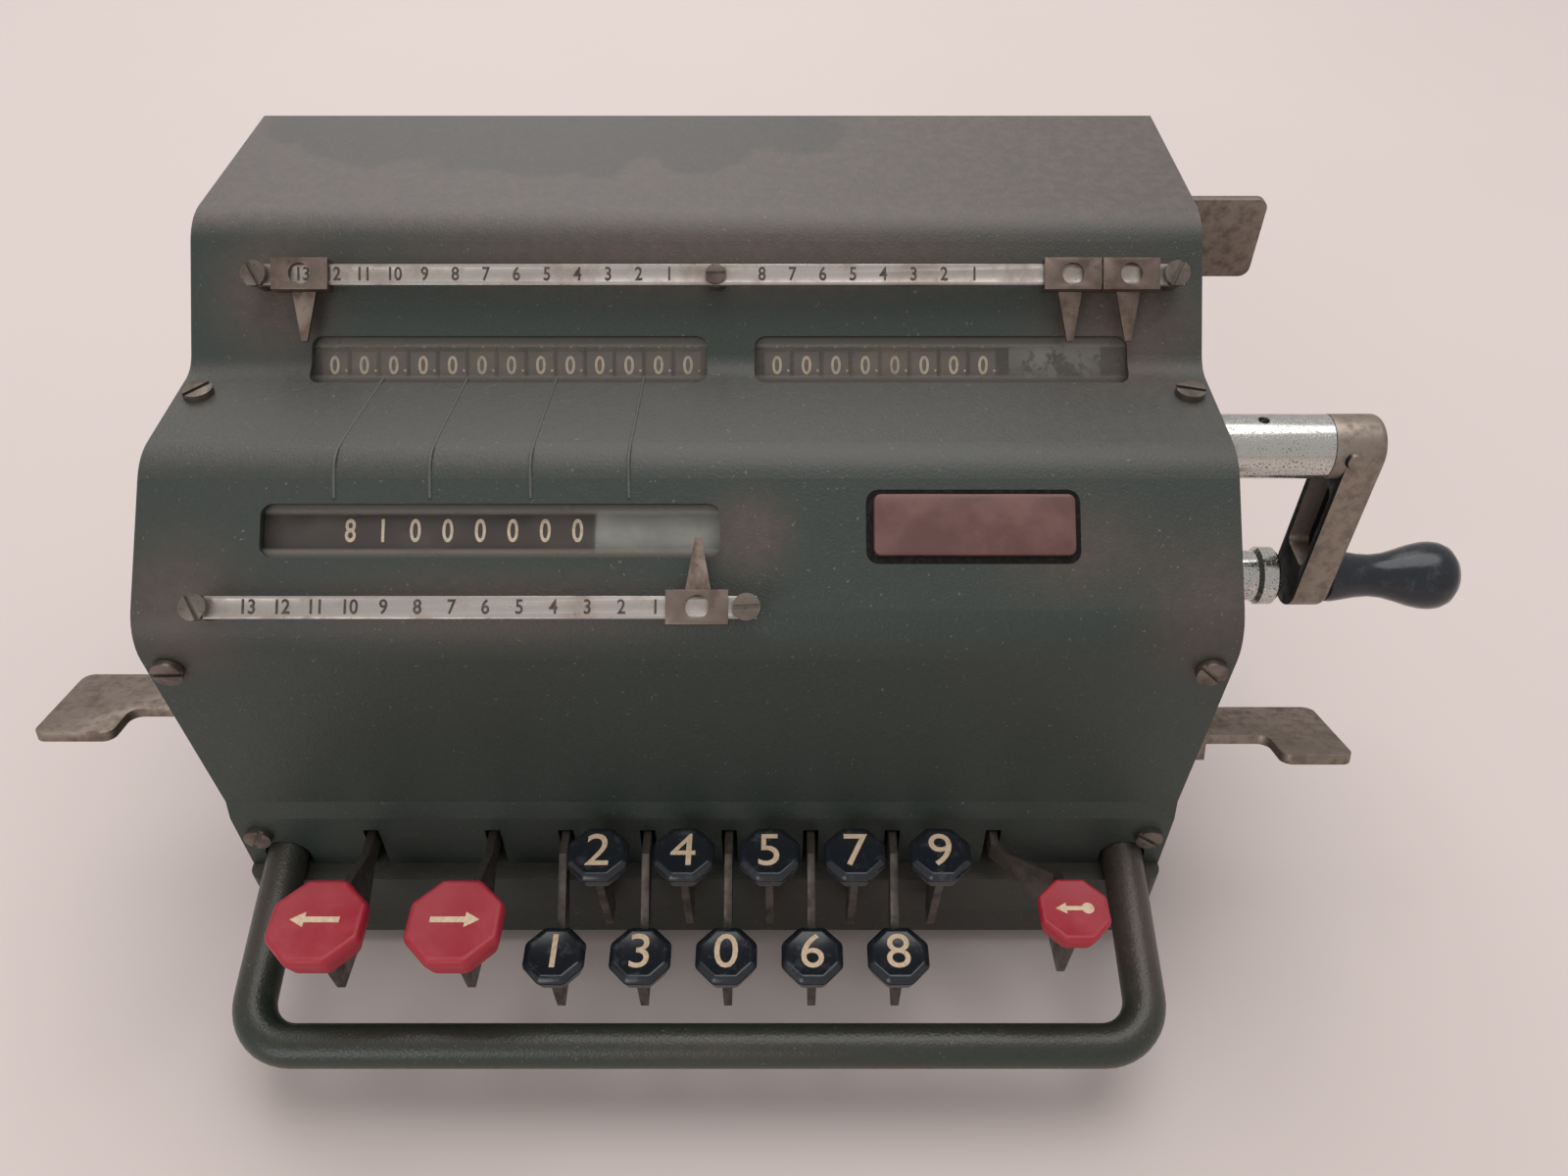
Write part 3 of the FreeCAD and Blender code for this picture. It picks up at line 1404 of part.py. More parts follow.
def key_lever(label, x, front):
    body = new_body(label)
    outline = new_sketch(body, f"{label}_outline", "YZ_Plane", x - d.key_lever_thickness / 2)
    draw_polygon(outline, lever_points(front))
    pad(body, outline, d.key_lever_thickness)
    hole = new_sketch(body, f"{label}_hole", "YZ_Plane", x + d.key_lever_thickness)
    draw_circle(hole, d.key_shaft_y, deck + d.key_shaft_z, d.key_shaft_radius + d.run_gap)
    pocket(body, hole, d.key_lever_thickness * 2)
    settle(body, label)


def digit_keys():
    back_seat = d.back_row_top - d.key_cap_height
    front_seat = d.front_row_top - d.key_cap_height
    for index, name in enumerate(KEY_ORDER):
        x = key_columns[index]
        if index % 2:
            y, top = d.back_row_y, d.back_row_top
            toe = d.ledge + d.seat_gap * 12
            front = [
                (-toe, -d.back_row_foot),
                (-y - MARGIN, -d.back_row_foot),
                *tang_points(y, back_seat),
            ]
        else:
            y, top = d.front_row_y, d.front_row_top
            front = [
                (-y + d.key_tang_half, -d.front_row_foot),
                (-y - d.key_tang_half, -d.front_row_foot),
                *tang_points(y, front_seat),
                (-y + d.key_cap / 2 + d.seam, front_seat),
            ]
        key_lever(f"key_lever_{name}", x, front)
        key_cap(f"key_cap_{name}", x, y, top, d.key_cap, d.key_cap_height)


def red_front(y, top, height, foot):
    seat = top - height
    return [
        (-(y + d.ledge) / 2, foot - d.key_tang),
        (-y - d.key_tang, foot),
        *tang_points(y, seat),
        (-y + d.key_tang_half * 2.4, seat),
    ]


def red_keys():
    front = red_front(d.red_key_y, d.red_key_top, d.red_cap_height, d.red_key_tip)
    for name, x in (("shift_left", d.shift_left_x), ("shift_right", d.shift_right_x)):
        key_lever(f"key_lever_{name}", x, front)
        key_cap(f"key_cap_{name}", x, d.red_key_y, d.red_key_top, d.red_cap, d.red_cap_height)
    clear_key_lever()
    key_cap("key_cap_clear", d.clear_key_x, d.clear_key_y, d.clear_key_top, d.clear_cap, d.key_cap_height)


def clear_key_lever():
    """The right key's lever steps sideways outside the cover: its plan and its side outline meet."""
    label = "key_lever_clear"
    half = d.key_lever_thickness / 2
    slot_x, cap_x = d.clear_key_slot, d.clear_key_x
    step_back = -d.panel_lean - MARGIN
    step_front = step_back - (cap_x - slot_x)
    tail = d.key_shaft_y + d.key_tail
    tip = -d.clear_key_y - d.key_tang_half * 3
    skew = half * 0.83
    plan = new_body(f"{label}_plan")
    plan_outline = new_sketch(plan, f"{label}_plan_outline", "XY_Plane", deck - d.key_tail)
    draw_polygon(plan_outline, [
        (slot_x - half, tail),
        (slot_x - half, step_back - skew / 2),
        (cap_x - half, step_front - skew / 2),
        (cap_x - half, tip),
        (cap_x + half, tip),
        (cap_x + half, step_front + skew / 2),
        (slot_x + half, step_back + skew / 2),
        (slot_x + half, tail),
    ])
    pad(plan, plan_outline, d.clear_key_top + d.key_tail)
    side = new_body(f"{label}_side")
    side_sketch = new_sketch(side, f"{label}_side_outline", "YZ_Plane", slot_x - d.clear_cap)
    front = red_front(d.clear_key_y, d.clear_key_top, d.key_cap_height, d.red_key_tip)
    draw_polygon(side_sketch, lever_points(front))
    pad(side, side_sketch, d.clear_cap * 3)
    common = doc.addObject("Part::Common", f"{label}_common")
    common.Base = plan
    common.Tool = side
    hole = cylinder(f"{label}_hole", (slot_x - d.key_lever_thickness, d.key_shaft_y, deck + d.key_shaft_z),
                    d.key_shaft_radius + d.run_gap, d.key_lever_thickness * 2, "x")
    settle(cut(f"{label}_cut", common, [hole]), label)


def build():
    base_frame()
    bottom_pan()
    rubber_feet()
    front_rail()
    side_plates()
    front_cover()
    name_plate()
    rear_cover()
    slotted_screws()
    markers_and_bars()
    windows()
    registers()
    drive()
    setting_drum()
    crank_bearing()
    rest_stud()
    crank_arm()
    handle_spindle()
    crank_handle()
    clearing_levers()
    digit_keys()
    red_keys()


def check_document():
    """Stops if any object failed, a cut removed nothing, or a piece's shape is not sound."""
    for thing in doc.Objects:
        if "Invalid" in thing.State or "Error" in thing.State:
            raise RuntimeError(f"{thing.Name} failed: {thing.State}")
        if thing.TypeId == "PartDesign::Pocket":
            if thing.Shape.Volume >= thing.BaseFeature.Shape.Volume - 0.01:
                raise RuntimeError(f"{thing.Name} cuts nothing")
    for piece in pieces:
        if piece.Shape.isNull() or not piece.Shape.isValid() or not piece.Shape.Solids:
            raise RuntimeError(f"{piece.Label} has no sound shape")


build()
doc.recompute()
check_document()
os.makedirs("parts", exist_ok=True)
for piece in pieces:
    piece.Shape.exportStep(os.path.join("parts", f"{piece.Label}.step"))
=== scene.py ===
import json
import math
from functools import partial

import bmesh
import bpy
from mathutils import Matrix, Vector


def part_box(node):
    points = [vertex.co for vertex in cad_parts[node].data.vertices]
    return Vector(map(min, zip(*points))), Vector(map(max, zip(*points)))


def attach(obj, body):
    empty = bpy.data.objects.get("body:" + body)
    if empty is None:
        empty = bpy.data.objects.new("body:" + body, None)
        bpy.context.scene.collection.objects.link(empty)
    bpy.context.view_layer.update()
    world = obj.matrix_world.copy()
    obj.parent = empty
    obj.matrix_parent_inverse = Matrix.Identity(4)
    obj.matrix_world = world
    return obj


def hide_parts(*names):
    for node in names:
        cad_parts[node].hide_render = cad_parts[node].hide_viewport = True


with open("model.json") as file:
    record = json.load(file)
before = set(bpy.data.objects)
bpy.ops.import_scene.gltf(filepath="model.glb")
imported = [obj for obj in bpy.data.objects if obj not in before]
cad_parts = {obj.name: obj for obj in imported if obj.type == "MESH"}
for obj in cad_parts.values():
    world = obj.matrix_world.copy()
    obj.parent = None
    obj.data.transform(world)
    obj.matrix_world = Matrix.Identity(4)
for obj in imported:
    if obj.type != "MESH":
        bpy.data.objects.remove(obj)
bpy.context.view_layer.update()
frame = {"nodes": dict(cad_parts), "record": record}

# Sizes and places are in millimetres in the part's frame unless a comment says otherwise
MM = 0.001

# The cover's two slopes: the foot of each, as y and z, and its angle
MIDDLE_X = -20.7
UPPER_FOOT = (14.44, 139.7)
UPPER_SLOPE = math.radians(46.8)
LOWER_FOOT = (-46.7, 114.77)
LOWER_SLOPE = math.radians(40.3)

# Axes of the number wheels and of the setting drum, as y and z
REGISTER_AXIS = (26.03, 131.01)
ROTOR_AXIS = (-7.985, 104.985)


def slope_matrix(foot, angle):
    """Takes x, the way up the slope and the way out of it, in millimetres, to the part's frame."""
    base = Matrix.Translation((MIDDLE_X * MM, foot[0] * MM, foot[1] * MM))
    return base @ Matrix.Rotation(angle, 4, "X") @ Matrix.Scale(MM, 4)


upper_face = slope_matrix(UPPER_FOOT, UPPER_SLOPE)
lower_face = slope_matrix(LOWER_FOOT, LOWER_SLOPE)


# Finishes

# How far a normal has to point up before dust settles, and the heights in metres between which it thickens
DUSTY_SLANT = (0.7, 1.0)
DUSTY_HEIGHTS = (0.143, 0.158)

# Sockets of a Mix node that mixes colours
FIRST_COLOUR = 6
SECOND_COLOUR = 7
MIXED_COLOUR = 2


class Finish:
    """A procedural material on object coordinates, built from a few kinds of nodes."""

    def __init__(self, name):
        self.material = bpy.data.materials.new(name)
        self.material.use_nodes = True
        self.nodes = self.material.node_tree.nodes
        self.links = self.material.node_tree.links
        self.shader = self.nodes["Principled BSDF"]
        self.coordinates = self.nodes.new("ShaderNodeTexCoord")
        self.where = self.coordinates.outputs["Object"]

    def stretch(self, x, y, z):
        node = self.nodes.new("ShaderNodeMapping")
        node.inputs["Scale"].default_value = (x, y, z)
        self.links.new(self.where, node.inputs["Vector"])
        return node.outputs["Vector"]

    def noise(self, scale, detail=3.0, roughness=0.55, where=None):
        node = self.nodes.new("ShaderNodeTexNoise")
        node.inputs["Scale"].default_value = scale
        node.inputs["Detail"].default_value = detail
        node.inputs["Roughness"].default_value = roughness
        self.links.new(where or self.where, node.inputs["Vector"])
        return node.outputs["Fac"]

    def between(self, value, low, high, blend="SMOOTHSTEP"):
        """Nought at low, one at high, smooth between them unless another blend is given."""
        node = self.nodes.new("ShaderNodeMapRange")
        node.interpolation_type = blend
        node.inputs["From Min"].default_value = low
        node.inputs["From Max"].default_value = high
        self.links.new(value, node.inputs["Value"])
        return node.outputs["Result"]

    def span(self, value, low, high):
        """Spreads a nought-to-one value over a range."""
        node = self.nodes.new("ShaderNodeMapRange")
        node.inputs["To Min"].default_value = low
        node.inputs["To Max"].default_value = high
        self.links.new(value, node.inputs["Value"])
        return node.outputs["Result"]

    def times(self, first, second):
        node = self.nodes.new("ShaderNodeMath")
        node.operation = "MULTIPLY"
        for socket, value in zip(node.inputs, (first, second)):
            if isinstance(value, float):
                socket.default_value = value
            else:
                self.links.new(value, socket)
        return node.outputs["Value"]

    def near(self, point, radius, stretch):
        """One at a point, falling to nought at a radius; the stretch draws it out along x."""
        node = self.nodes.new("ShaderNodeVectorMath")
        node.operation = "DISTANCE"
        self.links.new(self.stretch(1 / stretch, 1.0, 1.0), node.inputs[0])
        node.inputs[1].default_value = (point[0] * MM / stretch, point[1] * MM, point[2] * MM)
        fall = self.nodes.new("ShaderNodeMapRange")
        fall.interpolation_type = "SMOOTHSTEP"
        fall.inputs["From Max"].default_value = radius * MM
        fall.inputs["To Min"].default_value = 1.0
        fall.inputs["To Max"].default_value = 0.0
        self.links.new(node.outputs["Value"], fall.inputs["Value"])
        return fall.outputs["Result"]

    def split(self, vector, axis):
        node = self.nodes.new("ShaderNodeSeparateXYZ")
        self.links.new(vector, node.inputs["Vector"])
        return node.outputs[axis]

    def normal_along(self, axis):
        """The normal's share along an axis, from minus one to one."""
        return self.split(self.coordinates.outputs["Normal"], axis)

    def upward(self):
        """How far a surface faces up, from nought to one."""
        return self.between(self.normal_along("Z"), *DUSTY_SLANT)

    def place_share(self, axis, low, high):
        """Nought below low and one above high along an axis, both in metres."""
        return self.between(self.split(self.where, axis), low, high)

    def edge_share(self, foot, angle, middle, clear, full):
        """Nought near a line that runs along x on a slope, one beyond a distance up or down from it."""
        up = (0.0, math.cos(angle), math.sin(angle))
        start = (foot[0] * up[1] + foot[1] * up[2] + middle) * MM
        dot = self.nodes.new("ShaderNodeVectorMath")
        dot.operation = "DOT_PRODUCT"
        self.links.new(self.where, dot.inputs[0])
        dot.inputs[1].default_value = up
        away = self.nodes.new("ShaderNodeMath")
        away.operation = "SUBTRACT"
        self.links.new(dot.outputs["Value"], away.inputs[0])
        away.inputs[1].default_value = start
        size = self.nodes.new("ShaderNodeMath")
        size.operation = "ABSOLUTE"
        self.links.new(away.outputs["Value"], size.inputs[0])
        return self.between(size.outputs["Value"], clear * MM, full * MM)

    def mix(self, share, first, second):
        node = self.nodes.new("ShaderNodeMix")
        node.data_type = "RGBA"
        self.links.new(share, node.inputs["Factor"])
        for index, value in ((FIRST_COLOUR, first), (SECOND_COLOUR, second)):
            if isinstance(value, tuple):
                node.inputs[index].default_value = (*value, 1.0)
            else:
                self.links.new(value, node.inputs[index])
        return node.outputs[MIXED_COLOUR]

    def colour(self, value):
        self.links.new(value, self.shader.inputs["Base Color"])

    def roughness(self, value):
        self.links.new(value, self.shader.inputs["Roughness"])

    def metal(self, value):
        self.shader.inputs["Metallic"].default_value = value

    def bump(self, value, strength, distance):
        node = self.nodes.new("ShaderNodeBump")
        node.inputs["Strength"].default_value = strength
        node.inputs["Distance"].default_value = distance
        self.links.new(value, node.inputs["Height"])
        self.links.new(node.outputs["Normal"], self.shader.inputs["Normal"])


# Grime: place, reach, how far it is drawn out along x, and its strength
GRIME_COLOUR = (0.115, 0.07, 0.058)
COVER_GRIME = (
    ((-15.0, 32.0, 159.0), 15.0, 9.0, 0.95),
    ((-64.0, -43.0, 120.0), 12.0, 6.0, 0.9),
    ((76.0, 21.0, 147.0), 24.0, 1.2, 1.0),
    ((-116.0, 26.0, 152.0), 22.0, 1.0, 0.95),
    ((-8.0, -30.0, 129.0), 14.0, 1.0, 0.9),
    ((-126.0, -40.0, 118.0), 22.0, 1.0, 0.8),
    ((88.0, -40.0, 118.0), 24.0, 1.0, 0.7),
    ((60.0, -32.0, 127.0), 16.0, 1.6, 0.6),
)
RAIL_GRIME = (
    ((84.0, -62.0, 42.0), 34.0, 1.0, 0.85),
    ((-126.0, -62.0, 42.0), 30.0, 1.0, 0.5),
    ((-20.0, -95.0, 30.0), 8.0, 6.0, 0.4),
)

# The damp stain on the top, where dust has been rinsed off: place, reach and stretch along x
TOP_STAIN = ((-58.0, 97.0, 165.0), 62.0, 2.1)

MOTE_COLOUR = (0.3, 0.28, 0.26)
BARE_SPECK_COLOUR = (0.16, 0.11, 0.08)


def enamel(name, paint, shade, dust, dust_share, wear, grime=(), smooth=0.36):
    """Baked grey-green enamel: fine grain, a film of brown dust on top, grime and bare specks."""
    finish = Finish(name)
    cloud = finish.between(finish.noise(9.0, 3.0), 0.3, 0.75)
    grain = finish.noise(1700.0, 2.0)
    film = finish.span(finish.between(finish.noise(380.0, 5.0, 0.7), 0.3, 0.72), 0.55, 1.0)
    specks = finish.between(finish.noise(520.0, 4.0, 0.7), 0.7, 0.76)
    surface = finish.mix(cloud, paint, shade)
    for place, reach, stretch, strength in grime:
        share = finish.times(finish.times(finish.near(place, reach, stretch), film), strength)
        surface = finish.mix(share, surface, GRIME_COLOUR)
    lighter = tuple(channel * 1.8 for channel in paint)
    grained = finish.mix(finish.times(finish.between(grain, 0.35, 0.75), 0.35), surface, lighter)
    thicker = finish.span(finish.place_share("Z", *DUSTY_HEIGHTS), 0.45, 1.0)
    settled = finish.times(finish.times(finish.upward(), film), thicker)
    damp = finish.times(finish.near(*TOP_STAIN), finish.noise(42.0, 3.0, 0.5))
    rinsed = finish.span(finish.between(damp, 0.15, 0.19), 1.0, 0.62)
    dusty = finish.mix(finish.times(finish.times(settled, rinsed), dust_share), grained, dust)
    motes = finish.times(finish.between(finish.noise(1000.0, 2.0), 0.69, 0.74), 0.3)
    flecked = finish.mix(motes, dusty, MOTE_COLOUR)
    finish.colour(finish.mix(finish.times(specks, wear), flecked, BARE_SPECK_COLOUR))
    finish.roughness(finish.span(film, smooth, smooth + 0.16))
    finish.bump(grain, 0.3, 0.0004)
    return finish.material


def worn_surface(name, bright, dull, rust, rust_share, smooth, scale):
    """Plated metal worn dull, with brown pits and fine drawn lines; gives the finish and its colour."""
    finish = Finish(name)
    stain = finish.between(finish.noise(scale, 5.0, 0.65), 0.4, 0.68)
    pits = finish.between(finish.noise(scale * 7, 3.0, 0.7), 0.62, 0.7)
    drawn = finish.noise(60.0, 2.0, 0.5, finish.stretch(1.0, 30.0, 30.0))
    rusty = finish.between(finish.noise(scale * 0.4, 4.0), 0.5, 0.75)
    base = finish.mix(finish.times(stain, 0.8), bright, dull)
    brown = finish.mix(finish.times(rusty, rust_share), base, rust)
    pit_colour = tuple(channel * 0.35 for channel in rust)
    colour = finish.mix(finish.times(pits, rust_share), brown, pit_colour)
    finish.roughness(finish.span(stain, smooth, smooth + 0.26))
    finish.metal(0.85)
    finish.bump(finish.times(drawn, pits), 0.25, 0.0003)
    return finish, colour


def worn_metal(name, bright, dull, rust, rust_share, smooth, scale=160.0):
    finish, colour = worn_surface(name, bright, dull, rust, rust_share, smooth, scale)
    finish.colour(colour)
    return finish.material


def arm_paint(name, inside, **metal):
    """The crank arm: worn metal outside; the hollow face towards the body is dark, partly its dark paint and
    partly painted shade.
    """
    finish, colour = worn_surface(name, **metal)
    # Faces that point towards the body take the inside colour: dark paint with painted shade in it.
    inward_paint_and_shade = finish.between(finish.normal_along("X"), -0.3, -0.6, "LINEAR")
    finish.colour(finish.mix(inward_paint_and_shade, colour, inside))
    return finish.material


def pitted_chrome(name):
    finish = Finish(name)
    fine = finish.between(finish.noise(2600.0, 2.0, 0.6), 0.57, 0.66)
    cloud = finish.span(finish.between(finish.noise(90.0, 4.0), 0.3, 0.6), 0.25, 1.0)
    pits = finish.times(fine, cloud)
    finish.colour(finish.mix(pits, (0.6, 0.59, 0.56), (0.03, 0.025, 0.02)))
    finish.roughness(finish.span(pits, 0.17, 0.75))
    finish.metal(0.95)
    finish.bump(pits, 0.3, 0.0003)
    return finish.material


def moulded_black(name):
    """Glossy black moulded caps and grip, with faint scuffs."""
    finish = Finish(name)
    scuff = finish.between(finish.noise(240.0, 5.0, 0.7), 0.5, 0.76)
    finish.colour(finish.mix(scuff, (0.013, 0.016, 0.022), (0.042, 0.045, 0.053)))
    finish.roughness(finish.span(scuff, 0.2, 0.5))
    finish.bump(finish.noise(900.0), 0.06, 0.0002)
    return finish.material


def moulded_red(name):
    """Crimson caps worn matte, paler where fingers rub."""
    finish = Finish(name)
    rub = finish.between(finish.noise(120.0, 5.0, 0.6), 0.35, 0.7)
    rubbed_top = finish.times(rub, finish.upward())
    finish.colour(finish.mix(rubbed_top, (0.365, 0.014, 0.03), (0.42, 0.045, 0.06)))
    finish.roughness(finish.span(rub, 0.42, 0.62))
    finish.bump(finish.noise(1100.0), 0.1, 0.0002)
    return finish.material


def paint_fill(name, colour, worn, shine=0.5):
    """Paint in figures, uneven with age, and the painted shade in the gap round the plate."""
    finish = Finish(name)
    uneven = finish.between(finish.noise(900.0, 4.0, 0.7), 0.4, 0.72)
    finish.colour(finish.mix(uneven, colour, worn))
    finish.roughness(finish.span(finish.noise(500.0), 0.5, 0.75))
    finish.shader.inputs["Specular IOR Level"].default_value = shine
    return finish.material


def wheel_face(name, dark, light):
    """Brown or red plastic with streaks of old varnish."""
    finish = Finish(name)
    streak = finish.between(finish.noise(90.0, 4.0, 0.6), 0.35, 0.72)
    finish.colour(finish.mix(streak, dark, light))
    finish.roughness(finish.span(streak, 0.4, 0.62))
    finish.bump(finish.noise(800.0), 0.08, 0.0002)
    return finish.material


def clear_strip(name, foot, angle, middle, clear, full, haze_range):
    """Yellowed clear strip, milky along its upper and lower edges where dirt has settled."""
    finish = Finish(name)
    dirt = finish.between(finish.noise(75.0, 5.0, 0.65), 0.42, 0.8)
    edge = finish.edge_share(foot, angle, middle, clear, full)
    yellowed = finish.mix(dirt, (0.4, 0.37, 0.32), (0.24, 0.2, 0.16))
    finish.colour(finish.mix(edge, yellowed, (0.13, 0.115, 0.1)))
    finish.roughness(finish.span(dirt, 0.2, 0.5))
    haze = finish.mix(edge, finish.span(dirt, *haze_range), (0.86, 0.86, 0.86))
    finish.links.new(haze, finish.shader.inputs["Alpha"])
    return finish.material


# Where the drum's number band gives way to its bare sleeve, from the cover's middle
BAND_END = (-20.4, -20.2)


def drum_face(name):
    """Brown-black number band on the left, bare grey-green sleeve on the right."""
    finish = Finish(name)
    bare = finish.place_share("X", *((MIDDLE_X + end) * MM for end in BAND_END))
    streak = finish.between(finish.noise(90.0, 4.0, 0.6), 0.35, 0.72)
    band = finish.mix(streak, (0.03, 0.021, 0.019), (0.055, 0.037, 0.033))
    sleeve = finish.mix(streak, (0.26, 0.27, 0.25), (0.36, 0.36, 0.32))
    finish.colour(finish.mix(bare, band, sleeve))
    finish.roughness(finish.span(streak, 0.45, 0.65))
    return finish.material


def torn_label(name):
    """Pale backing paper with dark chips where it has torn away."""
    finish = Finish(name)
    chips = finish.between(finish.noise(110.0, 5.0, 0.7), 0.5, 0.58)
    stain = finish.between(finish.noise(60.0, 4.0), 0.35, 0.65)
    paper = finish.mix(stain, (0.19, 0.18, 0.16), (0.11, 0.105, 0.09))
    finish.colour(finish.mix(chips, paper, (0.055, 0.06, 0.05)))
    finish.roughness(finish.span(chips, 0.7, 0.85))
    return finish.material


def black_rubber(name):
    finish = Finish(name)
    finish.colour(finish.mix(finish.noise(200.0, 4.0), (0.018, 0.017, 0.016), (0.05, 0.047, 0.043)))
    finish.roughness(finish.span(finish.noise(300.0), 0.65, 0.85))
    finish.bump(finish.noise(1500.0), 0.2, 0.0003)
    return finish.material


FINISHES = {
    "cover": enamel("cover_enamel", paint=(0.024, 0.034, 0.028), shade=(0.029, 0.037, 0.031),
                    dust=(0.13, 0.103, 0.095), dust_share=0.95, wear=0.35, grime=COVER_GRIME),
    # The crease finish is the cover's enamel made lighter: a painted highlight on the shelf's ridges.
    "crease": enamel("crease_painted_highlight", paint=(0.07, 0.076, 0.066), shade=(0.085, 0.088, 0.078),
                     dust=(0.12, 0.1, 0.09), dust_share=0.5, wear=0.2),
    "base": enamel("base_enamel", paint=(0.022, 0.027, 0.022), shade=(0.036, 0.033, 0.026),
                   dust=(0.1, 0.078, 0.06), dust_share=0.6, wear=0.6),
    "rail": enamel("rail_enamel", paint=(0.016, 0.026, 0.02), shade=(0.026, 0.028, 0.022),
                   dust=(0.075, 0.055, 0.042), dust_share=0.8, wear=0.5, grime=RAIL_GRIME, smooth=0.2),
    "nickel": worn_metal("bar_nickel", bright=(0.5, 0.46, 0.43), dull=(0.33, 0.28, 0.25),
                         rust=(0.17, 0.1, 0.07), rust_share=0.4, smooth=0.34),
    "lever": worn_metal("lever_nickel", bright=(0.27, 0.22, 0.185), dull=(0.18, 0.142, 0.115),
                        rust=(0.12, 0.076, 0.055), rust_share=0.6, smooth=0.42, scale=420.0),
    "marker": worn_metal("marker_brown", bright=(0.2, 0.155, 0.13), dull=(0.13, 0.095, 0.078),
                         rust=(0.09, 0.055, 0.04), rust_share=0.5, smooth=0.45),
    # The arm's inside colour is dark paint with painted shade in it.
    "arm": arm_paint("arm_grey_brown", inside=(0.03, 0.034, 0.031), bright=(0.3, 0.25, 0.21),
                     dull=(0.225, 0.185, 0.155), rust=(0.14, 0.1, 0.075), rust_share=0.3,
                     smooth=0.45, scale=300.0),
    "steel": worn_metal("oiled_steel", bright=(0.17, 0.15, 0.135), dull=(0.08, 0.066, 0.055),
                        rust=(0.08, 0.046, 0.03), rust_share=0.6, smooth=0.4),
    "screw": worn_metal("screw_nickel", bright=(0.2, 0.17, 0.145), dull=(0.09, 0.07, 0.058),
                        rust=(0.08, 0.046, 0.033), rust_share=0.7, smooth=0.36),
    "chrome": pitted_chrome("bearing_chrome"),
    "black": moulded_black("key_black"),
    "red": moulded_red("key_red"),
    "cream": paint_fill("figure_cream", colour=(0.78, 0.6, 0.42), worn=(0.6, 0.43, 0.28)),
    "dim_cream": paint_fill("register_cream", colour=(0.78, 0.64, 0.48), worn=(0.55, 0.42, 0.29)),
    # The gap finish below is painted shade, the dark ring in the gap round the plate.
    "dirt": paint_fill("gap_painted_shade", colour=(0.007, 0.007, 0.007), worn=(0.022, 0.016, 0.013), shine=0.1),
    "engraved": paint_fill("figure_dark", colour=(0.04, 0.03, 0.024), worn=(0.1, 0.075, 0.055)),
    "wheel": wheel_face("wheel_brown", dark=(0.06, 0.047, 0.04), light=(0.1, 0.076, 0.062)),
    "drum": drum_face("drum_band"),
    "label": torn_label("torn_label"),
    "plate": wheel_face("plate_red", dark=(0.115, 0.05, 0.045), light=(0.178, 0.086, 0.077)),
    "register_strip": clear_strip("register_strip", UPPER_FOOT, UPPER_SLOPE, middle=2.3, clear=2.9, full=4.3,
                                  haze_range=(0.13, 0.3)),
    "setting_strip": clear_strip("setting_strip", LOWER_FOOT, LOWER_SLOPE, middle=22.9, clear=3.3, full=5.2,
                                 haze_range=(0.03, 0.13)),
    "rubber": black_rubber("foot_rubber"),
}


# Pieces

MERGE_DISTANCE = 0.001
FLAT_ANGLE = 0.6
SHARP_ANGLE = 40.0
EASED_ANGLE = 30.0


def body_holding(node):
    for body, members in frame["record"]["behaviour"]["bodies"].items():
        if node in members:
            return body
    return None


def piece(name, mesh, finish, body):
    """Turns a finished bmesh into an object that rides on a body."""
    bmesh.ops.recalc_face_normals(mesh, faces=mesh.faces)
    data = bpy.data.meshes.new(name)
    mesh.to_mesh(data)
    mesh.free()
    data.materials.append(FINISHES[finish])
    thing = bpy.data.objects.new(name, data)
    bpy.context.collection.objects.link(thing)
    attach(thing, body)
    return thing


def shade_smooth(thing, angle=35.0):
    """Smooth faces with sharp edges where they turn by more than an angle in degrees."""
    mesh = bmesh.new()
    mesh.from_mesh(thing.data)
    for face in mesh.faces:
        face.smooth = True
    for edge in mesh.edges:
        edge.smooth = len(edge.link_faces) == 2 and edge.calc_face_angle(0.0) < math.radians(angle)
    mesh.to_mesh(thing.data)
    mesh.free()


def round_edges(mesh, edges, width, segments=3):
    """Rounds edges by a width in the mesh's own units."""
    return bmesh.ops.bevel(mesh, geom=edges, offset=width, offset_type="OFFSET", segments=segments,
                           profile=0.5, affect="EDGES", clamp_overlap=True, material=-1)


def cylinder(mesh, radius, depth, segments):
    """A closed cylinder about z, with its middle at the origin; gives its vertices."""
    made = bmesh.ops.create_cone(mesh, cap_ends=True, segments=segments, radius1=radius, radius2=radius,
                                 depth=depth)
    return made["verts"]


def soften(node, finish, width, segments=2, shape=None, merge_flats=True):
    """Stands for a CAD node, its sharp edges broken as a maker would; shape may change the copy first."""
    mesh = bmesh.new()
    mesh.from_mesh(frame["nodes"][node].data)
    if shape:
        shape(mesh)
    bmesh.ops.remove_doubles(mesh, verts=mesh.verts, dist=MERGE_DISTANCE * MM)
    if merge_flats:
        bmesh.ops.dissolve_limit(mesh, angle_limit=math.radians(FLAT_ANGLE), verts=mesh.verts,
                                 edges=mesh.edges)
    sharp = [edge for edge in mesh.edges
             if len(edge.link_faces) == 2 and edge.calc_face_angle(0.0) > math.radians(SHARP_ANGLE)]
    round_edges(mesh, sharp, width * MM, segments)
    bmesh.ops.triangulate(mesh, faces=[face for face in mesh.faces if len(face.verts) > 4],
                          ngon_method="EAR_CLIP")
    thing = piece(f"{node}_eased", mesh, finish, body_holding(node))
    shade_smooth(thing, EASED_ANGLE)
    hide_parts(node)


def paint_node(node, finish):
    data = frame["nodes"][node].data
    data.materials.clear()
    data.materials.append(FINISHES[finish])


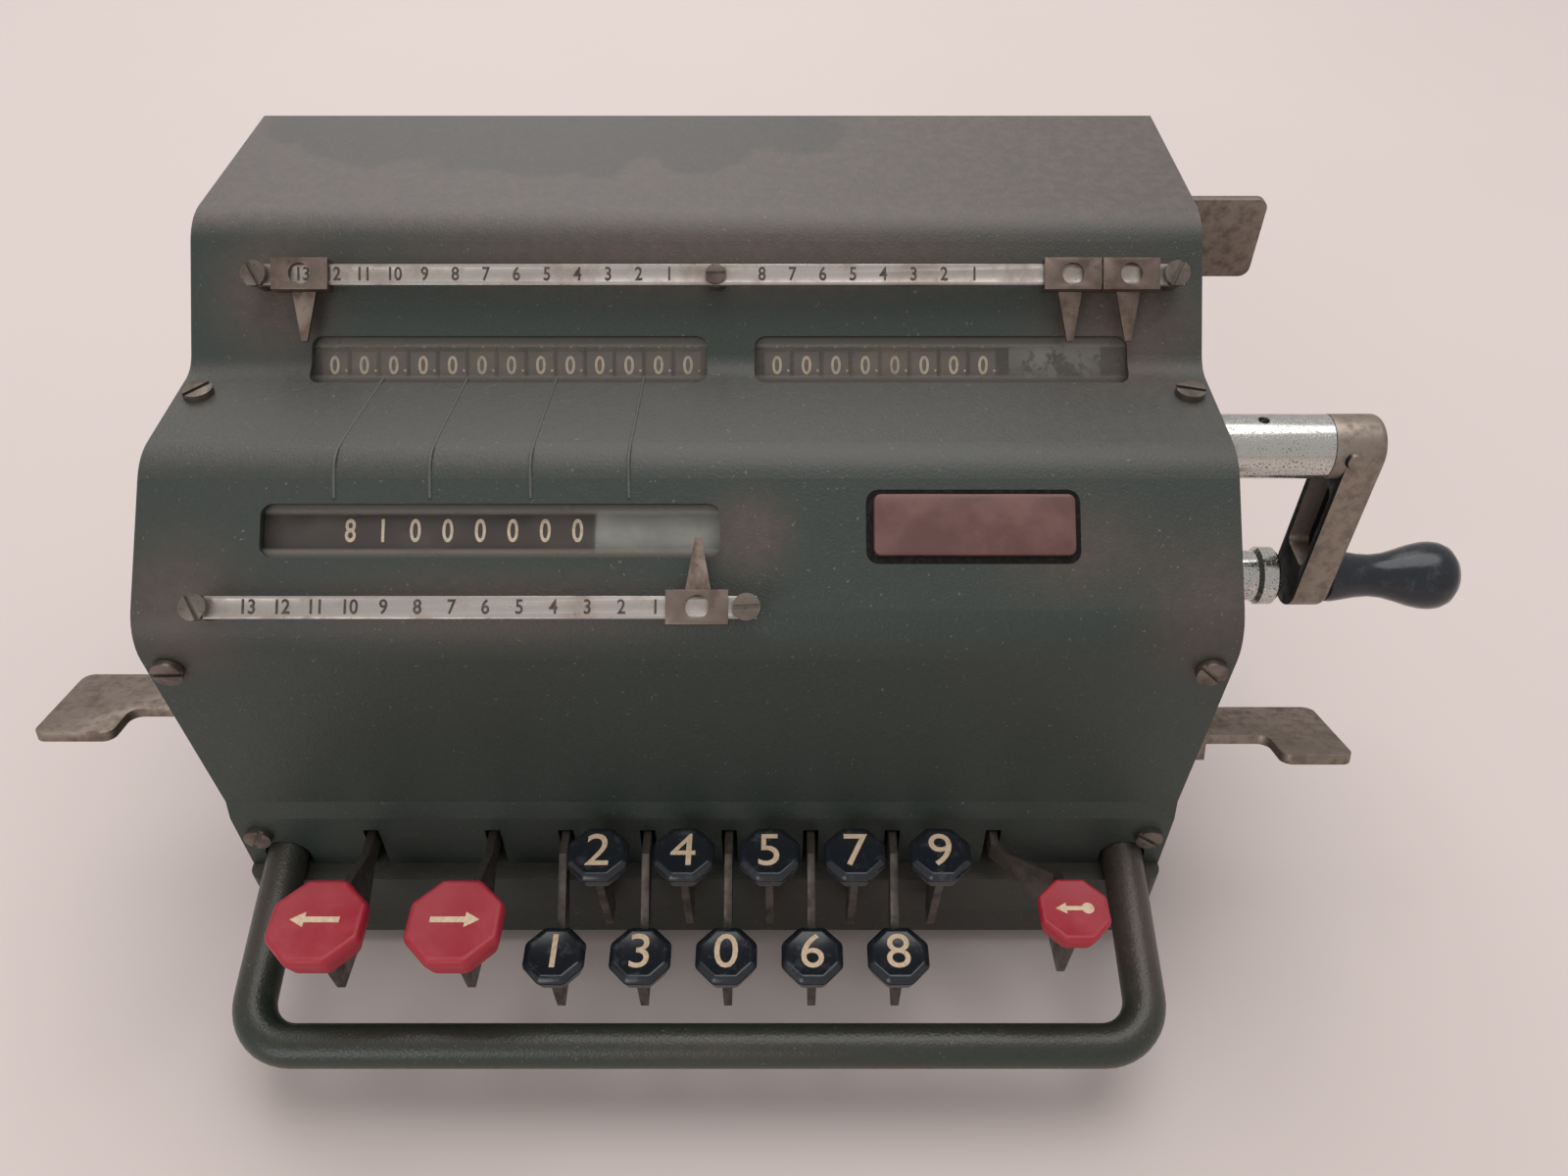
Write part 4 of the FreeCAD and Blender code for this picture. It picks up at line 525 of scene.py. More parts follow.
def mesh_from_curve(curve):
    """A mesh of a text or a curve, by way of an object that is then removed."""
    holder = bpy.data.objects.new(curve.name, curve)
    bpy.context.collection.objects.link(holder)
    bpy.context.view_layer.update()
    graph = bpy.context.evaluated_depsgraph_get()
    data = bpy.data.meshes.new_from_object(holder.evaluated_get(graph))
    bpy.data.objects.remove(holder)
    return data


# Figures, made once each from the built-in typeface; the text size makes a figure one unit tall
figure_meshes = {}
TEXT_SIZE = 1.38
FIGURE_THICKNESS = 0.02
FIGURE_CURVE_STEPS = 4
BOLD = 0.018
PLAIN = 0.0


def figure_mesh(text, weight):
    if (text, weight) not in figure_meshes:
        curve = bpy.data.curves.new(f"figure_{text}", "FONT")
        curve.body = text
        curve.align_x = "CENTER"
        curve.align_y = "CENTER"
        curve.size = TEXT_SIZE
        curve.extrude = FIGURE_THICKNESS
        curve.offset = weight
        curve.resolution_u = FIGURE_CURVE_STEPS
        figure_meshes[text, weight] = mesh_from_curve(curve)
    return figure_meshes[text, weight]


def add_figure(mesh, text, place, height, width=0.86, weight=BOLD):
    """Adds a figure of a height in the place's own units, lying on the place's x and y."""
    data = figure_mesh(text, weight).copy()
    data.transform(place @ Matrix.Diagonal((height * width, height, height, 1.0)))
    mesh.from_mesh(data)
    bpy.data.meshes.remove(data)


def ring_place(axis, x, angle, radius):
    """A place on a wheel about x: its y goes up the wheel, its z out of it. The angle is from straight up."""
    base = Matrix.Translation((x * MM, axis[0] * MM, axis[1] * MM))
    out = Matrix.Translation((0, 0, radius * MM))
    return base @ Matrix.Rotation(angle, 4, "X") @ out @ Matrix.Scale(MM, 4)


def place_facing(x, y, z, way):
    """A place whose z points along a way."""
    turn = Vector((0, 0, 1)).rotation_difference(Vector(way)).to_matrix().to_4x4()
    return Matrix.Translation((x * MM, y * MM, z * MM)) @ turn @ Matrix.Scale(MM, 4)


# Screws with slots

# A head is a radius and a height; a shank is a radius, a start and an end along the screw
HEAD_SIDES = 36
SHANK_SIDES = 24

# The slot's depth is a share of the head's height, its half width and the rim of the head's radius
SLOT_DEPTH = 0.45
SLOT_WIDTH = 0.17
RIM_SHARE = 0.99

# The rounding of the rim is a share of the slot's depth
HEAD_ROUNDING = 0.7

# Cover screws: y, z, the way out, the slot's turn, and how the turn differs from side to side
COVER_SCREW_X = 110.0
COVER_SCREWS = (
    (5.0, 139.7, (0, 0, 1), 0.3, 1.0),
    (-46.6, 105.6, (0, -1, 0), 1.2, -0.4),
    (-45.0, 43.0, (0, -1, 0), 0.2, 0.7),
    (95.0, 93.0, (0, 1, 0), 0.0, 0.9),
)
COVER_HEAD = (3.3, 1.6)
COVER_SHANK = (1.4, -5.5, 0.4)

# Marker bars: the way up each slope, the face of the bars above the slope, and the screws along them
UPPER_BAR_RISE = 20.2
LOWER_BAR_RISE = 6.3
BAR_FACE = 6.2
BAR_SCREWS = (
    (upper_face, UPPER_BAR_RISE, (-97.6, 4.7, 107.0)),
    (lower_face, LOWER_BAR_RISE, (-98.7, 12.4)),
)
BAR_END_HEAD = (2.8, 1.6)
BAR_MIDDLE_HEAD = (2.2, 0.9)
BAR_SHOULDER = (2.4, 0.0, 4.4)
BAR_SHANK = (1.4, -2.8, 6.4)
BAR_FIRST_TURN = 0.5
BAR_NEXT_TURN = 1.1

# Lever pivots: side, y and z
SIDE_FACE_X = 114.0
LEVER_PIVOTS = ((-1, 10.0, 64.0), (1, 10.0, 51.0), (1, 62.5, 109.0))
PIVOT_HEAD = (5.0, 1.6)
PIVOT_HEAD_FOOT = 4.6
PIVOT_COLLAR = (5.0, 0.0, 1.8)
PIVOT_SHANK = (3.0, -1.9, 4.8)
PIVOT_TURN = 0.8


def on_rim(edge, radius):
    return all(vert.co.to_2d().length > radius * RIM_SHARE for vert in edge.verts)


def screw_head(mesh, place, head, slot_turn):
    """A slotted cheese head standing on the place's z = 0, in the place's own units."""
    radius, height = head
    depth = height * SLOT_DEPTH
    slot = radius * SLOT_WIDTH
    verts = cylinder(mesh, radius, height - depth, HEAD_SIDES)
    bmesh.ops.translate(mesh, verts=verts, vec=(0, 0, (height - depth) / 2))
    faces = {face for vert in verts for face in vert.link_faces}
    top = max(faces, key=lambda face: face.calc_center_median().z)
    geometry = [top, *top.edges, *top.verts]
    for side in (-slot, slot):
        cut = bmesh.ops.bisect_plane(mesh, geom=geometry, plane_co=(side, 0, 0), plane_no=(1, 0, 0))
        geometry = cut["geom"]
    lands = [item for item in geometry
             if isinstance(item, bmesh.types.BMFace) and abs(item.calc_center_median().x) > slot]
    new_verts = []
    for land in lands:
        raised = bmesh.ops.extrude_face_region(mesh, geom=[land])
        lifted = [item for item in raised["geom"] if isinstance(item, bmesh.types.BMVert)]
        bmesh.ops.translate(mesh, verts=lifted, vec=(0, 0, depth))
        bmesh.ops.delete(mesh, geom=[land], context="FACES_ONLY")
        new_verts += lifted
    rim = {edge for vert in new_verts for edge in vert.link_edges
           if edge.other_vert(vert) in new_verts and on_rim(edge, radius)}
    rounded = round_edges(mesh, list(rim), depth * HEAD_ROUNDING)
    everything = set(verts) | set(new_verts) | set(rounded["verts"])
    everything |= {item for item in geometry if isinstance(item, bmesh.types.BMVert)}
    here = [vert for vert in everything if vert.is_valid]
    bmesh.ops.transform(mesh, matrix=place @ Matrix.Rotation(slot_turn, 4, "Z"), verts=here)


def shank(mesh, place, size):
    radius, start, end = size
    verts = cylinder(mesh, radius, end - start, SHANK_SIDES)
    bmesh.ops.translate(mesh, verts=verts, vec=(0, 0, (start + end) / 2))
    bmesh.ops.transform(mesh, matrix=place, verts=verts)


def cover_screws(mesh):
    for side in (-1, 1):
        for y, z, way, turn, turn_by_side in COVER_SCREWS:
            place = place_facing(MIDDLE_X + side * COVER_SCREW_X, y, z, way)
            screw_head(mesh, place, COVER_HEAD, turn + side * turn_by_side)
            shank(mesh, place, COVER_SHANK)


def bar_screws(mesh):
    for face, rise, row in BAR_SCREWS:
        for index, x in enumerate(row):
            place = face @ Matrix.Translation((x, rise, 0))
            on_bar = face @ Matrix.Translation((x, rise, BAR_FACE))
            inner = 0 < index < len(row) - 1
            head = BAR_MIDDLE_HEAD if inner else BAR_END_HEAD
            screw_head(mesh, on_bar, head, BAR_FIRST_TURN + index * BAR_NEXT_TURN)
            shank(mesh, place, BAR_SHOULDER)
            shank(mesh, place, BAR_SHANK)


def lever_pivots(mesh):
    for side, y, z in LEVER_PIVOTS:
        place = place_facing(MIDDLE_X + side * SIDE_FACE_X, y, z, (side, 0, 0))
        shank(mesh, place, PIVOT_COLLAR)
        shank(mesh, place, PIVOT_SHANK)
        screw_head(mesh, place @ Matrix.Translation((0, 0, PIVOT_HEAD_FOOT)), PIVOT_HEAD, PIVOT_TURN + z)


def slotted_screws():
    mesh = bmesh.new()
    cover_screws(mesh)
    bar_screws(mesh)
    lever_pivots(mesh)
    screws = piece("slotted_screw_set", mesh, "screw", "machine")
    shade_smooth(screws)
    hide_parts("slotted_screws")


# Keys

KEY_NAMES = ("one", "two", "three", "four", "zero", "five", "six", "seven", "eight", "nine")
KEY_FIGURES = dict(zip(KEY_NAMES, "1234056789"))
RED_KEYS = {"shift_left": -1, "shift_right": 1, "clear": -1}

# Levels of a cap from its foot up: share of the height and share of the width
BLACK_CAP = ((0.0, 0.82), (0.74, 1.0), (1.0, 0.8))
RED_CAP = ((0.0, 0.86), (0.72, 1.0), (1.0, 0.93))
CAP_SIDES = 8
CAP_DISH = 0.25
CAP_FOOT = 0.01
CAP_ANGLE = 28.0

# Shares of a cap's width
CAP_FIT = 0.985
CAP_RIM = 0.05
CAP_ROUNDING = 0.04
KEY_FIGURE_HEIGHT = 0.6
ARROW_LENGTH = 0.5

KEY_FIGURE_WIDTH = 1.02
KEY_FIGURE_SINK = 0.02
KEY_LEVER_EDGE = 0.25

# Shares of an arrow's length: the bar's length and width, the radii, and places along the arrow
ARROW_BAR_LENGTH = 0.72
ARROW_BAR_WIDTH = 0.13
ARROW_BAR_PLACE = -0.12
ARROW_HEAD_RADIUS = 0.2
ARROW_HEAD_PLACE = 0.33
ARROW_TAIL_RADIUS = 0.17
ARROW_TAIL_PLACE = -0.36
ARROW_TAIL_SIDES = 20

ARROW_BAR_THICKNESS = 0.06
ARROW_HEAD_THICKNESS = 0.072
ARROW_TAIL_THICKNESS = 0.084


def raise_face(mesh, face, keep):
    """Extrudes one face in place and gives the new face; the old one stays only as a floor."""
    raised = bmesh.ops.extrude_face_region(mesh, geom=[face])
    if not keep:
        bmesh.ops.delete(mesh, geom=[face], context="FACES_ONLY")
    return next(item for item in raised["geom"] if isinstance(item, bmesh.types.BMFace))


def key_cap(name, finish, levels):
    """An eight-sided cap with a waisted skirt and a dish; gives the dish's place and the cap's width."""
    node = f"key_cap_{name}"
    low, high = (Vector(corner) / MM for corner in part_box(node))
    middle = (low + high) / 2
    across = high.x - low.x
    height = high.z - low.z
    half_turn = math.pi / CAP_SIDES
    mesh = bmesh.new()
    bmesh.ops.create_circle(mesh, cap_ends=True, segments=CAP_SIDES,
                            radius=across / 2 / math.cos(half_turn) * CAP_FIT)
    bmesh.ops.rotate(mesh, verts=mesh.verts, cent=(0, 0, 0), matrix=Matrix.Rotation(half_turn, 3, "Z"))
    mesh.faces.ensure_lookup_table()
    top = mesh.faces[0]
    width = levels[0][1]
    bmesh.ops.scale(mesh, verts=top.verts, vec=(width, width, 1.0))
    for level, (share, size) in enumerate(levels[1:]):
        top = raise_face(mesh, top, level == 0)
        bmesh.ops.translate(mesh, verts=top.verts, vec=(0, 0, height * share - top.verts[0].co.z))
        bmesh.ops.scale(mesh, verts=top.verts, vec=(size / width, size / width, 1.0))
        width = size
    edges = [edge for edge in mesh.edges if max(vert.co.z for vert in edge.verts) > CAP_FOOT]
    bmesh.ops.inset_region(mesh, faces=[top], thickness=across * CAP_RIM, depth=0.0)
    bmesh.ops.translate(mesh, verts=top.verts, vec=(0, 0, -CAP_DISH))
    round_edges(mesh, edges, across * CAP_ROUNDING)
    place = Matrix.Translation((middle.x * MM, middle.y * MM, low.z * MM)) @ Matrix.Scale(MM, 4)
    bmesh.ops.transform(mesh, matrix=place, verts=mesh.verts)
    cap = piece(f"{node}_moulded", mesh, finish, f"key_{name}")
    shade_smooth(cap, CAP_ANGLE)
    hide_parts(node)
    dish_z = high.z - CAP_DISH - KEY_FIGURE_SINK
    return Matrix.Translation((middle.x * MM, middle.y * MM, dish_z * MM)) @ Matrix.Scale(MM, 4), across


def arrow(mesh, place, length, way, round_tail):
    """A plain arrow along x: a bar, a three-sided head and, on one key, a round tail."""
    bar = bmesh.ops.create_cube(mesh, size=1.0)["verts"]
    bar_size = (length * ARROW_BAR_LENGTH, length * ARROW_BAR_WIDTH, ARROW_BAR_THICKNESS)
    bmesh.ops.scale(mesh, verts=bar, vec=bar_size)
    bmesh.ops.translate(mesh, verts=bar, vec=(length * ARROW_BAR_PLACE, 0, 0))
    head = cylinder(mesh, length * ARROW_HEAD_RADIUS, ARROW_HEAD_THICKNESS, 3)
    bmesh.ops.rotate(mesh, verts=head, cent=(0, 0, 0), matrix=Matrix.Rotation(-math.pi / 2, 3, "Z"))
    bmesh.ops.translate(mesh, verts=head, vec=(length * ARROW_HEAD_PLACE, 0, 0))
    parts = [*bar, *head]
    if round_tail:
        tail = cylinder(mesh, length * ARROW_TAIL_RADIUS, ARROW_TAIL_THICKNESS, ARROW_TAIL_SIDES)
        bmesh.ops.translate(mesh, verts=tail, vec=(length * ARROW_TAIL_PLACE, 0, 0))
        parts += tail
    turn = Matrix.Rotation(0.0 if way > 0 else math.pi, 4, "Z")
    bmesh.ops.transform(mesh, matrix=place @ turn, verts=parts)


def keys():
    for name, figure in KEY_FIGURES.items():
        place, across = key_cap(name, "black", BLACK_CAP)
        mesh = bmesh.new()
        add_figure(mesh, figure, place, across * KEY_FIGURE_HEIGHT, KEY_FIGURE_WIDTH, PLAIN)
        piece(f"key_figure_{name}", mesh, "cream", f"key_{name}")
        soften(f"key_lever_{name}", "steel", KEY_LEVER_EDGE)
    for name, way in RED_KEYS.items():
        place, across = key_cap(name, "red", RED_CAP)
        mesh = bmesh.new()
        arrow(mesh, place, across * ARROW_LENGTH, way, name == "clear")
        piece(f"key_arrow_{name}", mesh, "cream", f"key_{name}")
        soften(f"key_lever_{name}", "steel", KEY_LEVER_EDGE)


# Numbers on the bars, wheels and drum

# Rows of numbers on the bars: slope, rise, first place, pitch and how many, counted down to one
BAR_ROWS = (
    (upper_face, UPPER_BAR_RISE, -87.2, 6.8, 13),
    (upper_face, UPPER_BAR_RISE, 15.0, 6.75, 8),
    (lower_face, LOWER_BAR_RISE, -88.2, 6.85, 13),
)
BAR_FIGURE_HEIGHT = 3.0
BAR_FIGURE_LIFT = 0.03

WHEEL_PITCH = 6.8
WHEEL_RADIUS = 10.0
WHEEL_FIGURE_HEIGHT = 4.3
WHEEL_FIGURE_WIDTH = 0.8
WHEEL_EDGE = 0.25
ACCUMULATOR_FIRST = -83.9
ACCUMULATOR_WHEELS = 13
COUNTER_FIRST = 18.3
COUNTER_WHEELS = 7
FIGURES_ROUND = 10
FIGURE_LIFT = 0.02

# The dot beside each figure: how far along the wheel, and its turn from the figure
DOT_ALONG = 2.6
DOT_TURN = 0.1
DOT_RADIUS = 0.28
DOT_DEPTH = 0.2
DOT_SIDES = 10

DRUM_SHOWS = " 81000000"
DRUM_FIRST = -78.58
DRUM_PITCH = 6.86
DRUM_RADIUS = 28.0
DRUM_STEP = math.radians(15.5)
DRUM_REACH = 4
DRUM_FIGURE_HEIGHT = 5.0
DRUM_FIGURE_WIDTH = 0.72


def bar_numbers():
    mesh = bmesh.new()
    for face, rise, first, pitch, count in BAR_ROWS:
        for index in range(count):
            place = face @ Matrix.Translation((first + pitch * index, rise, BAR_FACE + BAR_FIGURE_LIFT))
            add_figure(mesh, str(count - index), place, BAR_FIGURE_HEIGHT)
    piece("bar_figures", mesh, "engraved", "machine")


def wheel_numbers(name, body, first, start, count):
    """Ten figures round each wheel, nought towards the window at rest."""
    mesh = bmesh.new()
    for index in range(start, start + count):
        x = MIDDLE_X + first + WHEEL_PITCH * index
        for figure in range(FIGURES_ROUND):
            angle = UPPER_SLOPE - figure * math.tau / FIGURES_ROUND
            place = ring_place(REGISTER_AXIS, x, angle, WHEEL_RADIUS + FIGURE_LIFT)
            add_figure(mesh, str(figure), place, WHEEL_FIGURE_HEIGHT, WHEEL_FIGURE_WIDTH)
            dot = ring_place(REGISTER_AXIS, x + DOT_ALONG, angle + DOT_TURN, WHEEL_RADIUS - FIGURE_LIFT)
            bmesh.ops.transform(mesh, matrix=dot, verts=cylinder(mesh, DOT_RADIUS, DOT_DEPTH, DOT_SIDES))
    piece(name, mesh, "dim_cream", body)


def registers():
    wheel_numbers("accumulator_figures", "accumulator", ACCUMULATOR_FIRST, 0, ACCUMULATOR_WHEELS)
    wheel_numbers("counter_figures", "counter", COUNTER_FIRST, 0, COUNTER_WHEELS)
    wheel_numbers("counter_units_figures", "counter_units", COUNTER_FIRST, COUNTER_WHEELS, 1)
    for node in ("accumulator_wheels", "counter_wheels", "counter_units_wheel"):
        soften(node, "wheel", WHEEL_EDGE, segments=1)


def drum_numbers():
    """Figures on the drum's band, each column turned to show the number entered at rest."""
    mesh = bmesh.new()
    for column, shown in enumerate(DRUM_SHOWS):
        if shown == " ":
            continue
        x = MIDDLE_X + DRUM_FIRST + DRUM_PITCH * column
        for figure in range(FIGURES_ROUND):
            offset = figure - int(shown)
            if abs(offset) > DRUM_REACH:
                continue
            place = ring_place(ROTOR_AXIS, x, LOWER_SLOPE - offset * DRUM_STEP, DRUM_RADIUS + FIGURE_LIFT)
            add_figure(mesh, str(figure), place, DRUM_FIGURE_HEIGHT, DRUM_FIGURE_WIDTH)
    piece("drum_figures", mesh, "dim_cream", "drum")


# Small trim

# The creases on the shelf: x of each at the front and how far it leans at the back
SHELF_LINES = ((-74.0, 3.5), (-54.0, 2.5), (-33.0, 1.6), (-12.5, 0.8))
SHELF_LINE_RADIUS = 0.4
SHELF_LINE_HEIGHT = 139.52
SHELF_BACK = 11.0
SHELF_CORNER = -17.3
SHELF_BEND = 13.0
SHELF_FRONT = SHELF_CORNER + SHELF_BEND * math.tan(LOWER_SLOPE / 2)

# A crease's route from the back, over the bend at the front: share of its lean, sway along x, y and rise
SHELF_ROUTE = (
    (1.0, 0.0, SHELF_BACK, 0.05),
    (0.5, 0.0, (SHELF_BACK + SHELF_FRONT) / 2, 0.02),
    (0.0, 0.0, SHELF_FRONT, 0.02),
    (0.0, -0.2, SHELF_FRONT - 4.9, -0.08),
    (0.0, 0.0, SHELF_FRONT - 8.8, -3.2),
    (0.0, 0.2, SHELF_FRONT - 11.6, -5.6),
)


def shelf_lines():
    """Four fine scribed ridges that run over the shelf from one window to the other; their lighter colour is
    a painted highlight.
    """
    mesh = bmesh.new()
    for x, lean in SHELF_LINES:
        curve = bpy.data.curves.new("shelf_line", "CURVE")
        curve.dimensions = "3D"
        curve.bevel_depth = SHELF_LINE_RADIUS * MM
        curve.bevel_resolution = 2
        curve.use_fill_caps = True
        spline = curve.splines.new("NURBS")
        spline.points.add(len(SHELF_ROUTE) - 1)
        for point, (share, sway, y, rise) in zip(spline.points, SHELF_ROUTE):
            along = MIDDLE_X + x + lean * share + sway
            point.co = (along * MM, y * MM, (SHELF_LINE_HEIGHT + rise) * MM, 1.0)
        spline.order_u = 3
        spline.use_endpoint_u = True
        data = mesh_from_curve(curve)
        mesh.from_mesh(data)
        bpy.data.meshes.remove(data)
    piece("shelf_lines", mesh, "crease", "machine")


HUB_PIN_PLACE = (129.0, 0.0, 124.6)
HUB_PIN_WAY = (0, -1, 0.15)
HUB_PIN_RADIUS = 1.9
HUB_PIN_LENGTH = 1.6
HUB_PIN_ROUNDING = 0.6
HUB_PIN_SIDES = 24


def hub_pin():
    """The rounded end of the taper pin through the crank's hub."""
    mesh = bmesh.new()
    cylinder(mesh, HUB_PIN_RADIUS, HUB_PIN_LENGTH, HUB_PIN_SIDES)
    rim = [edge for edge in mesh.edges if all(vert.co.z > 0 for vert in edge.verts)]
    round_edges(mesh, rim, HUB_PIN_ROUNDING)
    bmesh.ops.transform(mesh, matrix=place_facing(*HUB_PIN_PLACE, HUB_PIN_WAY), verts=mesh.verts)
    shade_smooth(piece("hub_pin", mesh, "arm", "crank"))


BAR_END_TRIM = 1.4
BAR_END_REACH = 0.01
BAR_EDGE = 0.2


def cut_bar_ends(mesh):
    """Draws both ends of a bar in, so that they stop under the heads of their screws."""
    left = min(vert.co.x for vert in mesh.verts)
    right = max(vert.co.x for vert in mesh.verts)
    for vert in mesh.verts:
        for end, way in ((left, 1), (right, -1)):
            if abs(vert.co.x - end) < BAR_END_REACH * MM:
                vert.co.x += way * BAR_END_TRIM * MM


def marker_bars():
    for node in ("upper_marker_bar", "lower_marker_bar"):
        soften(node, "nickel", BAR_EDGE, shape=cut_bar_ends)


MARKERS = (
    ("accumulator_marker", upper_face, UPPER_BAR_RISE),
    ("counter_marker_inner", upper_face, UPPER_BAR_RISE),
    ("counter_marker_outer", upper_face, UPPER_BAR_RISE),
    ("setting_marker", lower_face, LOWER_BAR_RISE),
)
FINGER_SLIMMING = 0.75

# Distances from the bar's middle line: where a finger starts and its tip; and half its greatest width
FINGER_START = 3.55
FINGER_TIP = 8.0
FINGER_HALF_WIDTH = 4.0


def slim_finger(mesh, face, rise):
    """Draws a marker's finger in towards its own middle, on the slope that the marker rides over."""
    bmesh.ops.transform(mesh, matrix=face.inverted(), verts=mesh.verts)
    tip = [vert.co.x for vert in mesh.verts if abs(vert.co.y - rise) > FINGER_TIP]
    middle = sum(tip) / len(tip)
    for vert in mesh.verts:
        if abs(vert.co.x - middle) < FINGER_HALF_WIDTH and abs(vert.co.y - rise) > FINGER_START:
            vert.co.x = middle + (vert.co.x - middle) * FINGER_SLIMMING
    bmesh.ops.transform(mesh, matrix=face, verts=mesh.verts)


def markers():
    """Folded clips with slim fingers; their flats stay unmerged, because of the sight holes."""
    for node, face, rise in MARKERS:
        slim = partial(slim_finger, face=face, rise=rise)
        soften(node, "marker", BAR_EDGE, shape=slim, merge_flats=False)


HANDLE_START = 137.1
HANDLE_LENGTH = 34.0
HANDLE_AXIS = (7.66, 81.78)
HANDLE_BORE = 2.75
HANDLE_BORE_SHARE = 0.815
HANDLE_STEPS = 56
HANDLE_MERGE = 0.0005

# The turned grip from the arm outwards: share of the length and radius
HANDLE_PROFILE = (
    (0.0, 6.2), (0.01, 6.6), (0.05, 6.7), (0.14, 6.25), (0.24, 5.65), (0.34, 5.4), (0.44, 5.75), (0.54, 6.7),
    (0.64, 7.85), (0.73, 8.55), (0.79, 8.7), (0.85, 8.5), (0.91, 7.6), (0.96, 5.7), (0.99, 2.8), (1.0, 0.0),
)


def crank_handle():
    """A turned grip with a smooth waist and bulb, bored for its spindle."""
    mesh = bmesh.new()
    bore_end = HANDLE_LENGTH * HANDLE_BORE_SHARE
    bore = ((bore_end, 0.0), (bore_end, HANDLE_BORE), (0.0, HANDLE_BORE))
    outside = [mesh.verts.new((share * HANDLE_LENGTH, 0, radius)) for share, radius in HANDLE_PROFILE]
    inside = [mesh.verts.new((along, 0, radius)) for along, radius in bore]
    edges = [mesh.edges.new(pair) for pair in zip(outside, outside[1:])]
    edges += [mesh.edges.new(pair) for pair in zip(inside, [*inside[1:], outside[0]])]
    bmesh.ops.spin(mesh, geom=[*mesh.verts, *edges], cent=(0, 0, 0), axis=(1, 0, 0), angle=math.tau,
                   steps=HANDLE_STEPS, use_merge=True)
    bmesh.ops.remove_doubles(mesh, verts=mesh.verts, dist=HANDLE_MERGE)
    axis = Matrix.Translation((HANDLE_START * MM, HANDLE_AXIS[0] * MM, HANDLE_AXIS[1] * MM))
    bmesh.ops.transform(mesh, matrix=axis @ Matrix.Scale(MM, 4), verts=mesh.verts)
    grip = piece("turned_handle", mesh, "black", body_holding("crank_handle"))
    shade_smooth(grip)
    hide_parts("crank_handle")


LABEL_SIZE = (21.0, 11.0, 0.12)
LABEL_PLACE = (82.0, 2.15, -2.55)


def window_label():
    """A thin torn paper behind the clear strip, right of the counter's last wheel."""
    mesh = bmesh.new()
    bmesh.ops.create_cube(mesh, size=1.0)
    bmesh.ops.scale(mesh, verts=mesh.verts, vec=LABEL_SIZE)
    bmesh.ops.translate(mesh, verts=mesh.verts, vec=LABEL_PLACE)
    bmesh.ops.transform(mesh, matrix=upper_face, verts=mesh.verts)
    piece("window_label", mesh, "label", "machine")


# The ring of painted shade round the plate: its width, overlap, shift off centre and thickness.
PLATE_GAP = 1.3
PLATE_GAP_OVERLAP = 0.2
PLATE_GAP_SHIFT = Vector((-0.25, -0.35, 0.0))
PLATE_GAP_THICKNESS = 0.06


def plate_gap():
    """A dark ring round the plate: painted shade in the gap between the plate and its recess."""
    to_slope = lower_face.inverted()
    corners = [to_slope @ vert.co for vert in frame["nodes"]["name_plate"].data.vertices]
    left = min(corner.x for corner in corners)
    right = max(corner.x for corner in corners)
    bottom = min(corner.y for corner in corners)
    top = max(corner.y for corner in corners)
    middle = Vector(((left + right) / 2, (bottom + top) / 2, PLATE_GAP_THICKNESS)) + PLATE_GAP_SHIFT
    size = (right - left + 2 * PLATE_GAP, top - bottom + 2 * PLATE_GAP, 1.0)
    mesh = bmesh.new()
    bmesh.ops.create_grid(mesh, x_segments=1, y_segments=1, size=0.5)
    bmesh.ops.scale(mesh, verts=mesh.verts, vec=size)
    bmesh.ops.bevel(mesh, geom=mesh.verts, offset=2 * PLATE_GAP, offset_type="OFFSET", segments=4,
                    profile=0.5, affect="VERTICES", clamp_overlap=True, material=-1)
    inner = list(mesh.faces)
    bmesh.ops.inset_region(mesh, faces=inner, thickness=PLATE_GAP + PLATE_GAP_OVERLAP, use_boundary=True,
                           use_even_offset=True)
    bmesh.ops.delete(mesh, geom=inner, context="FACES")
    bmesh.ops.solidify(mesh, geom=list(mesh.faces), thickness=PLATE_GAP_THICKNESS)
    bmesh.ops.translate(mesh, verts=mesh.verts, vec=middle)
    bmesh.ops.transform(mesh, matrix=lower_face, verts=mesh.verts)
    piece("plate_gap", mesh, "dirt", "machine")


FOOT_SIDE = 98.0
FOOT_X = (MIDDLE_X - FOOT_SIDE, MIDDLE_X + FOOT_SIDE)
FOOT_Y = (-33.0, 78.0)
FOOT_RADIUS_BELOW = 7.2
FOOT_RADIUS_ABOVE = 8.0
FOOT_HEIGHT = 5.4
FOOT_ROUNDING = 0.9
FOOT_SIDES = 40


def rubber_foot(mesh, x, y):
    made = bmesh.ops.create_cone(mesh, cap_ends=True, segments=FOOT_SIDES, radius1=FOOT_RADIUS_BELOW,
                                 radius2=FOOT_RADIUS_ABOVE, depth=FOOT_HEIGHT)["verts"]
    rim = {edge for vert in made for edge in vert.link_edges if all(end.co.z < 0 for end in edge.verts)}
    bmesh.ops.translate(mesh, verts=made, vec=(0, 0, FOOT_HEIGHT / 2))
    rounded = round_edges(mesh, list(rim), FOOT_ROUNDING)
    whole = {vert for vert in [*made, *rounded["verts"]] if vert.is_valid}
    bmesh.ops.translate(mesh, verts=list(whole), vec=(x, y, 0))


def rubber_feet():
    """Moulded feet, narrower at the table, with a rounded rim."""
    mesh = bmesh.new()
    for x in FOOT_X:
        for y in FOOT_Y:
            rubber_foot(mesh, x, y)
    bmesh.ops.scale(mesh, verts=mesh.verts, vec=(MM, MM, MM))
    feet = piece("moulded_feet", mesh, "rubber", "machine")
    shade_smooth(feet)
    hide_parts("rubber_feet")


# Large pieces

